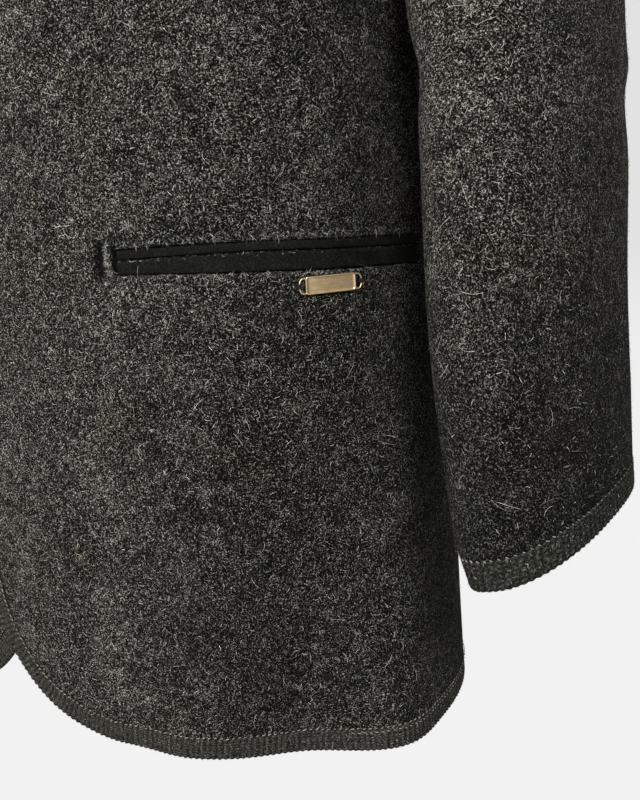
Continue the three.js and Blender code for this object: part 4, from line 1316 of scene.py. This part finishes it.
def build_pocket_rim(side):
    """The wool's turned edge, a raised ridge that stands beside the pocket's front end, in a lighter wool that is a
    painted highlight.
    """
    stations, sides = 34, 14
    heights = np.linspace(-9.5, 10.5, stations)
    t = (heights + 9.5) / 20
    angles = pocket_angle(POCKET_START - 1.2 - 3.0 * step(0, 0.6, t))
    radii = 1.15 * np.sqrt(np.clip(1 - (2 * t - 1) ** 6, 0.02, 1))
    ridge, faces = tube(front_point(side, angles, POCKET_LEVEL + heights, 0.7), radii, sides)
    ridge = ridge + np.random.default_rng(21).normal(0, 0.13, ridge.shape)
    name = f"pocket_ridge_{side}"
    add_piece(name, make_mesh(name, ridge, faces), WOOL_EDGE_HIGHLIGHT)
    return ridge.reshape(stations, sides, 3)


def seam_rows(path, length, second=None):
    """A band's chain stitches: the row beside its seam, and a second row from one length on."""
    rows = [(path, 2.0, length - 2.0, HEM_PITCH, BAND_WIDTH + 0.2, 0.55, 0.12)]
    if second:
        rows.append((path, second, length - 2.0, HEM_PITCH, BAND_WIDTH - 2.1, 0.65, -0.12))
    return rows


# Where the corner ends along the front's band, past which its second row of stitches runs
CORNER_END = 860.0

sheets = {}
for side in SIDES:
    fine = DETAIL[side]
    sheets[f"front_{side}"], outer, weight = build_front(side)
    add_nap(f"front_nap_{side}", outer, fine["front_nap"], 31, weight)
    add_nap(f"front_hairs_{side}", outer, fine["front_hairs"], 35, np.minimum(weight, 1), HAIRS)
    for name, start, end, width in (
        ("sleeve_upper", BACK_SEAM, FRONT_SEAM, 215),
        ("sleeve_under", FRONT_SEAM, 1 + BACK_SEAM, 120),
    ):
        sheets[f"{name}_{side}"], outer, weight = build_sleeve(side, name, start, end, width)
        add_nap(f"{name}_nap_{side}", outer, fine[name], 41, weight)
        if name == "sleeve_upper":
            add_nap(f"sleeve_hairs_{side}", outer, fine["sleeve_hairs"], 42, kind=HAIRS)
    path, length = front_band_path(side), BAND_LENGTHS[-1]
    sheets[f"front_band_{side}"], outer = build_band(
        f"front_rib_band_{side}", path, length, [f"front_band_{side}"], 5, fine["stations"])
    add_nap(f"front_band_fuzz_{side}", outer, fine["band_fuzz"], 43, kind=FUZZ)
    build_stitches(f"front_stitches_{side}", seam_rows(path, length, CORNER_END), 51)
    path, length = cuff_path(side), CUFF_LENGTHS[-1]
    sheets[f"cuff_band_{side}"], outer = build_band(
        f"cuff_rib_band_{side}", path, length, [f"cuff_band_{side}"], 6, cuff=True)
    add_nap(f"cuff_fuzz_{side}", outer, fine["cuff_fuzz"], 44, kind=FUZZ)
    build_stitches(f"cuff_stitches_{side}", [
        (path, 1.0, length - 1.0, CUFF_PITCH, CUFF_BAND_WIDTH + 0.1, 0.2, 0.3),
    ], 52)
    sheets[f"welts_{side}"], sheets[f"bag_{side}"] = build_pocket(side)
    add_nap(f"pocket_ridge_nap_{side}", build_pocket_rim(side), COUNTS["ridge_nap"], 61, kind=LIT_EDGE_NAP)

sheets["back"], outer = build_back()
add_nap("back_nap", outer, COUNTS["back_nap"], 33)
sheets["back_band"], _ = build_band("back_rib_band", back_band_path, BACK_LENGTHS[-1], ["back_band"], 8, 3)
build_stitches("back_stitches", seam_rows(back_band_path, BACK_LENGTHS[-1], 2.0), 53)
sheets["collar"], outer = build_collar()
add_nap("collar_nap", outer, COUNTS["collar_nap"], 34)
sheets["collar_band"], _ = build_band("collar_rib_band", collar_band_path, COLLAR_LENGTHS[-1], ["collar_band"], 9, 3)
build_stitches("collar_stitches", seam_rows(collar_band_path, COLLAR_LENGTHS[-1]), 54)
for number in range(BUTTON_COUNT):
    build_button(number + 1, front_level(mix(TOP_BUTTON, BOTTOM_BUTTON, number / (BUTTON_COUNT - 1))))
build_label()


# Floor, lights and camera

FLOOR_LEVEL = -1.5
FLOOR_SIZE = 30.0
FLOOR_FADE = (2.0, 9.0)
# The surround's grey as the camera sees it, and the grey of the light that it casts
WORLD_SEEN = 0.76
WORLD_CAST = 0.31
# Each light's name, place, target, size, power and tint
LIGHTS = [
    ("key", (-0.5, -2.75, 1.05), (0.1, 0, -0.5), 1.3, 148, (1.0, 0.985, 0.955)),
    ("side_fill", (1.35, -1.35, 0.85), (0.2, -0.1, -0.3), 0.7, 64, (1.0, 0.985, 0.955)),
    ("fill", (-2.4, 2.0, 0.9), (0, 0, -0.4), 2.0, 122, (1.0, 0.99, 0.97)),
]
# The camera's direction to the wearer's left of straight in front, its tilt down and its roll
AZIMUTH = 35 * DEGREE
TILT = 15 * DEGREE
ROLL = 2.5 * DEGREE
CAMERA_PLACE = (0.4563, -0.490, -0.4157)
FOCAL_LENGTH = 45.45


def add_floor():
    corners = [(x * FLOOR_SIZE, y * FLOOR_SIZE, 0) for x, y in ((-1, -1), (1, -1), (1, 1), (-1, 1))]
    mesh = bpy.data.meshes.new("studio_floor")
    mesh.from_pydata(corners, [], [(0, 1, 2, 3)])
    g = Graph("pale_studio_floor")
    far = g.range(g.node("VectorMath", {0: g.place}, operation="LENGTH").outputs["Value"], *FLOOR_FADE)
    tone = g.ramp(far, [(0.0, (0.880, 0.880, 0.880)), (1.0, (0.76, 0.76, 0.76))])
    mesh.materials.append(g.finish((0.004, 0.004, 0.004, 1), g.range(g.noise(40, 2.0), 0.3, 0.7, 0.85, 0.95),
                                   Specular_IOR_Level=0.0, Emission_Color=tone, Emission_Strength=1.0))
    floor = bpy.data.objects.new("studio_floor", mesh)
    floor.location = (0, 0, FLOOR_LEVEL)
    floor.visible_diffuse = False
    bpy.context.scene.collection.objects.link(floor)


def add_world(seen, cast):
    """A pale surround as the camera sees it, and the softer light that it casts."""
    world = bpy.data.worlds.new("studio")
    world.use_nodes = True
    nodes, links = world.node_tree.nodes, world.node_tree.links
    ground = nodes["Background"]
    pale = nodes.new("ShaderNodeBackground")
    pale.inputs["Color"].default_value = (seen, seen, seen, 1)
    ground.inputs["Color"].default_value = (cast, cast, cast * 0.98, 1)
    path = nodes.new("ShaderNodeLightPath")
    mixer = nodes.new("ShaderNodeMixShader")
    links.new(path.outputs["Is Camera Ray"], mixer.inputs[0])
    links.new(ground.outputs[0], mixer.inputs[1])
    links.new(pale.outputs[0], mixer.inputs[2])
    links.new(mixer.outputs[0], nodes["World Output"].inputs["Surface"])
    bpy.context.scene.world = world


def add_area(name, location, target, size, power, tint):
    data = bpy.data.lights.new(name, "AREA")
    data.shape = "DISK"
    data.size = size
    data.energy = power
    data.color = tint
    lamp = bpy.data.objects.new(name, data)
    bpy.context.scene.collection.objects.link(lamp)
    way = unit(np.array(location, float) - np.array(target, float))
    side = unit(np.cross([0, 0, 1.0], way))
    up = np.cross(way, side)
    lamp.matrix_world = matrix_of(side, up, way, location)
    lamp.visible_camera = False


def matrix_of(x, y, z, place):
    rows = [[x[k], y[k], z[k], place[k]] for k in range(3)] + [[0, 0, 0, 1]]
    return mathutils.Matrix(rows)


def add_camera():
    heading = np.array([-math.sin(AZIMUTH), math.cos(AZIMUTH), 0])
    forward = math.cos(TILT) * heading - np.array([0, 0, math.sin(TILT)])
    right = np.array([math.cos(AZIMUTH), math.sin(AZIMUTH), 0])
    up = np.cross(right, forward)
    turned_right = math.cos(ROLL) * right - math.sin(ROLL) * up
    turned_up = math.sin(ROLL) * right + math.cos(ROLL) * up
    data = bpy.data.cameras.new("camera")
    data.sensor_width = 36
    data.sensor_fit = "AUTO"
    data.lens = FOCAL_LENGTH
    data.clip_start = 0.02
    camera = bpy.data.objects.new("camera", data)
    bpy.context.scene.collection.objects.link(camera)
    camera.matrix_world = matrix_of(turned_right, turned_up, -forward, CAMERA_PLACE)
    bpy.context.scene.camera = camera


add_floor()
add_world(WORLD_SEEN, WORLD_CAST)
for light in LIGHTS:
    add_area(*light)
bpy.context.scene.view_settings.view_transform = "Standard"
add_camera()
